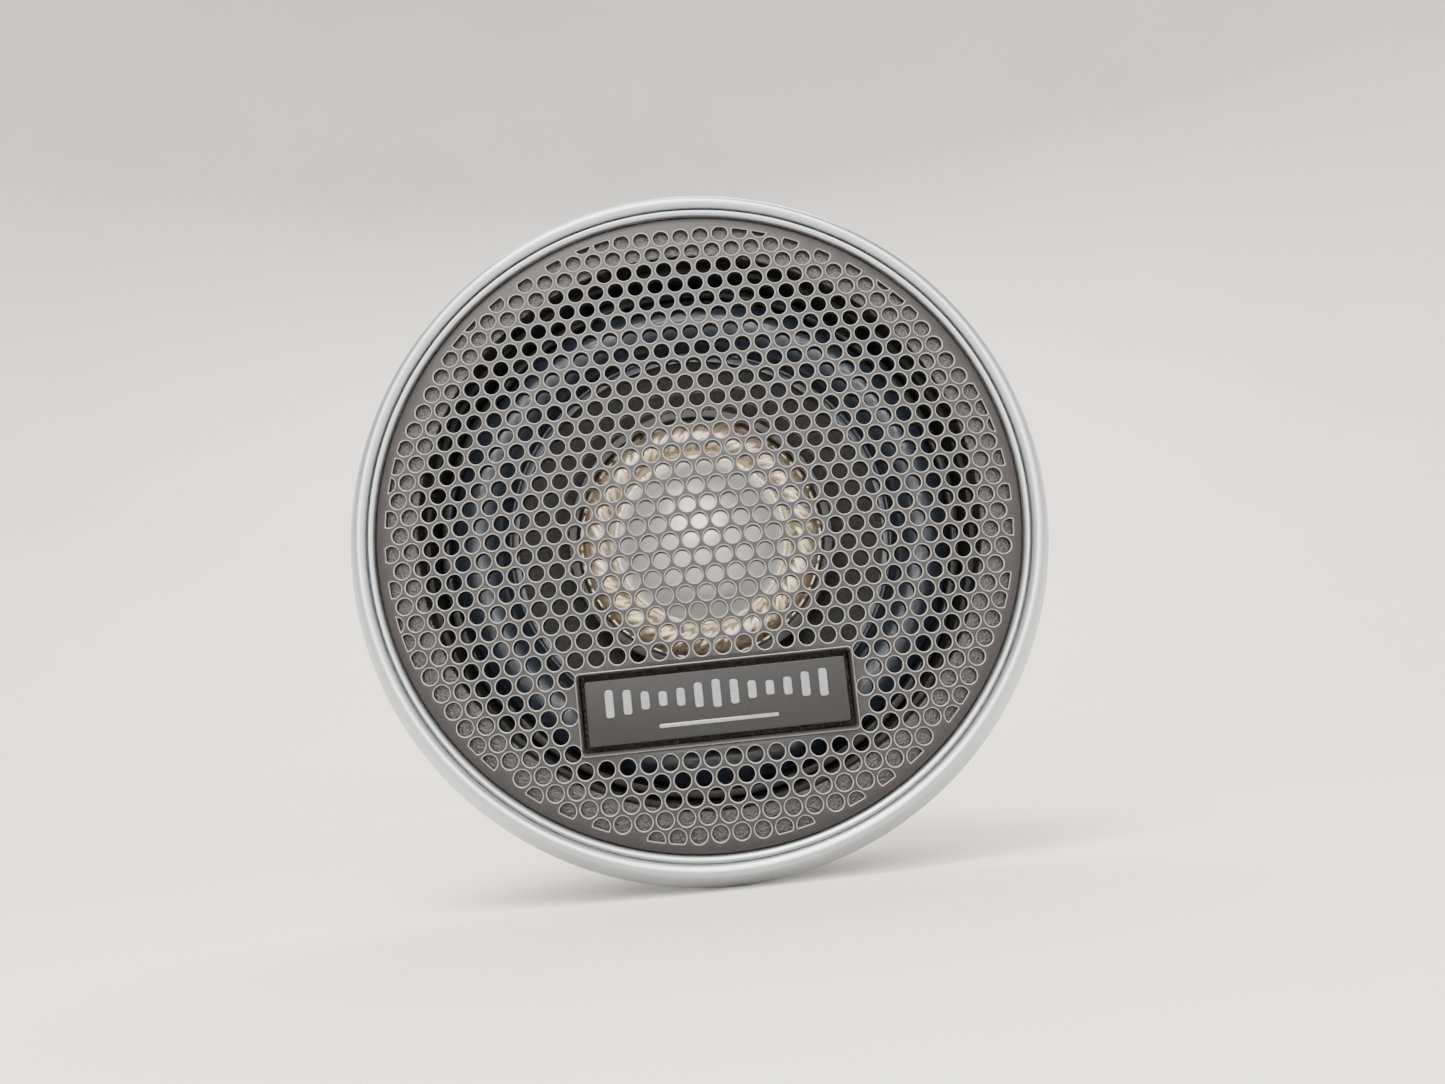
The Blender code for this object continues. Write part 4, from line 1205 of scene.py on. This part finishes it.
def buildFasteners():
    outline = list(screw["tip"])
    for i in range(screw["threads"]):
        outline += [(screw["root"], -2.7 + screw["pitch"] * i), (screw["crest"], -2.45 + screw["pitch"] * i)]
    outline += screw["head"]
    for number, degrees in enumerate(basket["screwAngles"], 1):
        x, z = onCircle(basket["screwCircle"], math.radians(degrees))
        mesh = moved(recessedScrew("screw", outline, screw["recess"]), rotated(0.4 * number))
        addPiece(f"chassisScrew{number}", moved(mesh, shift(x, 0, z)), "zinc_steel",
                 nodes=[f"chassis_screw_{number}"], sharp=32)
    mesh = moved(recessedScrew("boardScrew", boardScrew["outline"], boardScrew["recess"]),
                 shift(0, 0, boardScrew["height"]))
    addPiece("boardScrew", mesh, "zinc_steel", nodes=["board_screw"], sharp=32)

    outline = [(radius, rivet["base"] + height) for radius, height in rivet["outline"]]
    for number, degrees in enumerate(basket["clipAngles"], 1):
        addPiece(f"retainingClip{number}", moved(clipMesh(), spin(degrees)), "spring_steel",
                 nodes=[f"retaining_clip_{number}"], sharp=35)
        mesh = moved(turnedMesh("rivet", outline, 48, closed=False), outwards(degrees, basket["rivetDepth"]))
        addPiece(f"clipRivet{number}", mesh, "zinc_steel", nodes=[f"clip_rivet_{number}"], sharp=40)
    print("fasteners")


# --- connection ---
board = {"low": (-13.0, 13.7, 28.6), "high": (12.6, 14.7, 36.0), "middle": 32.3, "edge": 0.08,
         "pins": (-9.75, -4.55), "pinHeight": 32.2, "pinHole": 0.6,
         "lands": ((-9.75, 32.2), (-4.55, 32.2), (6.4, 30.8), (3.9, 30.2), (-6.4, 30.8))}
solder = [(0, 0.75), (0.3, 0.7), (0.62, 0.38), (0.95, 0.1), (1.15, 0.02), (1.15, -0.02)]
socketSize = {"low": (-12.4, 15.0, 28.7), "high": (-1.9, 25.0, 35.7), "wall": 1.0, "floor": 16.4,
              "keys": (-9.9, -4.9), "keyWidth": 0.9}
pinSteps = ((12.2, 0.25), (12.6, 0.4), (21.6, 0.4), (22.2, 0.28), (22.5, 0.12))
capacitor = {"radius": 3.15, "groove": 0.35, "place": (8.4, 32.2), "score": (1.7, 25.28, 0.07), "turn": 0.5}


def pinHole(x, front, rear):
    reach, height = board["pinHole"], board["pinHeight"]
    return (blockMesh("pinHole", (x - reach, front, height - reach), (x + reach, rear, height + reach)),
            "DIFFERENCE")


def buildBoard():
    (left, front, bottom), (right, rear, top) = board["low"], board["high"]
    middle, edge = board["middle"], board["edge"]
    outline = softened([(left, bottom), (right, bottom), (right, top - 2.2), (right - 2.4, top),
                        (left + 2.4, top), (left, top - 2.2)], 0.7)
    loops = []
    for inset, depth in ((edge, front), (0, front + edge), (0, rear - edge), (edge, rear)):
        loops.append([(x * (1 - inset / 13), depth, middle + (z - middle) * (1 - inset / 3.7))
                      for x, z in outline])
    cuts = [pinHole(x, 12, 16) for x in board["pins"]]
    cuts.append((moved(rodMesh("hole", 1.1, 12, 16), shift(0, 0, boardScrew["height"])), "DIFFERENCE"))
    addPiece("terminalBoard", carved(loftMesh("board", loops), cuts), "board_laminate",
             nodes=["terminal_board"], sharp=30)

    # Solder joints stand on both faces, except where a pin goes on into the socket.
    joints = []
    for x, z in board["lands"]:
        for sign, face in ((-1, front), (1, rear)):
            if sign < 0 or x not in board["pins"]:
                spot = [(radius, face + sign * height) for radius, height in solder]
                joints.append(moved(turnedMesh("joint", spot, 28, closed=False), shift(x, 0, z)))
    addPiece("solderJoints", joinedMesh("solderJoints", joints), "tin_plate", sharp=60)


def buildConnector():
    low, high, wall = socketSize["low"], socketSize["high"], socketSize["wall"]
    inside = blockMesh("inside", (low[0] + wall, socketSize["floor"], low[2] + wall),
                       (high[0] - wall, high[1] + 2, high[2] - wall), 0.25)
    cuts = [(inside, "DIFFERENCE")]
    # Two keyways and a latch step tell the plug which way round it goes.
    for x in socketSize["keys"]:
        key = blockMesh("key", (x, 18.5, 28.0), (x + socketSize["keyWidth"], 27.0, 30.0))
        cuts.append((key, "DIFFERENCE"))
    cuts.append((blockMesh("latch", (-8.9, 19.5, 35.5), (-5.4, 21.2, 36.0), 0.12), "UNION"))
    cuts += [pinHole(x, 14, 17) for x in board["pins"]]
    addPiece("connectorHousing", carved(blockMesh("shell", low, high, 0.3, 3), cuts), "connector_plastic",
             nodes=["connector_housing"], sharp=30)
    for number, x in enumerate(board["pins"], 1):
        loops = []
        for depth, half in pinSteps:
            section = roundedRect(half * 2, half * 2, min(half * 0.3, 0.1), 2)
            loops.append([(x + a, depth, board["pinHeight"] + b) for a, b in section])
        addPiece(f"terminalPin{number}", loftMesh("pin", loops), "tin_plate",
                 nodes=[f"terminal_pin_{number}"], sharp=30)


def buildCapacitor():
    radius, groove = capacitor["radius"], capacitor["groove"]
    outline = [(0, 15.0), (radius, 15.0), (radius, 16.2), (radius - groove, 16.6), (radius - groove, 16.9),
               (radius, 17.3), (radius, 25.2), (radius - 0.35, 25.6), (radius - 0.6, 25.6),
               (radius - 0.7, 25.35), (0, 25.35)]
    can = turnedMesh("capacitor", softened(outline, 0.2, closed=False), 64, closed=False)
    # Vent scores pressed crosswise into the end.
    reach, depth, half = capacitor["score"]
    score = blockMesh("score", (-reach, depth, -half), (reach, depth + 0.52, half))
    x, z = capacitor["place"]
    mesh = moved(carved(can, crossCuts(score, capacitor["turn"])), shift(x, 0, z))
    addPiece("capacitor", mesh, "capacitor_sleeve", nodes=["capacitor"])
    print("connection")


# --- leads ---
leads = {
    "tinsel": [(6.4, 13.1, 30.8), (6.4, 12.4, 30.4), (6.4, 12.0, 28.6), (6.6, 12.5, 26.0), (5.8, 13.4, 23.2),
               (4.7, 13.2, 20.6), (4.1, 11.9, 18.9), (3.9, 11.6, 18.4)],
    "tinselRadius": 0.35, "tinselPitch": 1.5, "tinselStrands": 3,
    "pair": [(3.2, 15.1, 30.0), (3.2, 17.5, 29.8), (3.1, 22.0, 28.6), (2.9, 28.0, 27.4), (2.6, 33.6, 26.6),
             (2.2, 37.2, 24.9), (1.7, 38.8, 20.0), (1.1, 40.0, 13.0), (0.5, 41.4, 7.0), (0.1, 42.9, 3.0),
             (0.0, 43.1, 1.0), (0.0, 42.0, 0.1), (0.0, 40.0, 0.0), (0.0, 30.0, 0.0), (0.0, 18.0, 0.0),
             (0.0, 8.4, 0.0)],
    "wireRadius": 0.4, "wireOffset": 0.62,
}


def buildLeads():
    radius, pitch, count = leads["tinselRadius"], leads["tinselPitch"], leads["tinselStrands"]
    for number, side in enumerate((1, -1), 1):
        points = [(x * side, y, z) for x, y, z in leads["tinsel"]]
        route = smoothRoute(points, 12)
        strands = [tubeMesh("strand", route, radius * 0.52, 10, (radius * 0.5, pitch, i / count))
                   for i in range(count)]
        piece = addPiece(f"tinselLead{number}", joinedMesh("tinsel", strands), "tinsel_braid", None,
                         [f"tinsel_lead_{number}"], 60)
        top, bottom = ([value * mm for value in point] for point in (points[1], points[-2]))
        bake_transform(piece)
    for number, (slotName, side) in enumerate((("red_wire", 1), ("black_wire", -1)), 1):
        route = smoothRoute([(x + side * leads["wireOffset"], y, z) for x, y, z in leads["pair"]], 8)
        addPiece(f"tweeterLead{number}", tubeMesh("lead", route, leads["wireRadius"], 16), slotName,
                 nodes=[f"tweeter_lead_{number}"], sharp=60)
    print("leads")


# --- floor and backdrop ---
stageSetup = {"radius": 780, "sweep": 600, "height": 1500, "steps": 96, "bends": 12, "flat": 60,
              "tones": ((222, 220, 216), (230, 229, 226))}


def buildStage():
    # A shallow bowl: flat round the speaker and curving up to an even wall on every side.
    radius, sweep, bends = stageSetup["radius"], stageSetup["sweep"], stageSetup["bends"]
    line = [(0.0, 0.0), (stageSetup["flat"], 0.0), (radius - sweep, 0.0)]
    line += [onCircle(sweep, quarter * (i / bends - 1), (radius - sweep, sweep)) for i in range(1, bends + 1)]
    line.append((radius, stageSetup["height"]))
    mesh = turnedMesh("floor", line, stageSetup["steps"], closed=False)
    # The bowl was turned about Y; stand it up so that it opens along +Z.
    mesh.transform(shift(0, 0, cadLow[2] / mm) @ rotated(quarter, "X"))
    mesh.flip_normals()
    mesh.shade_smooth()
    paper = Finish("paper", stageSetup["tones"][1], 0.85, Specular_IOR_Level=0.2)
    paper.put("Base Color", paper.mixed(paper.grain(90, 3), *stageSetup["tones"]))
    paper.bump(paper.grain(0.6, 3), 0.01)
    mesh.materials.append(paper.material)
    newObject("floor", mesh)


placeCamera()
placeLights()
buildStage()
buildGrille()
buildTrimRing()
buildCone()
buildRoll()
buildDome()
buildFilm()
buildDampingPad()
buildRingsAndCoils()
buildSpider()
buildMagnet()
buildPost()
buildBasket()
buildFasteners()
buildBoard()
buildConnector()
buildCapacitor()
buildLeads()
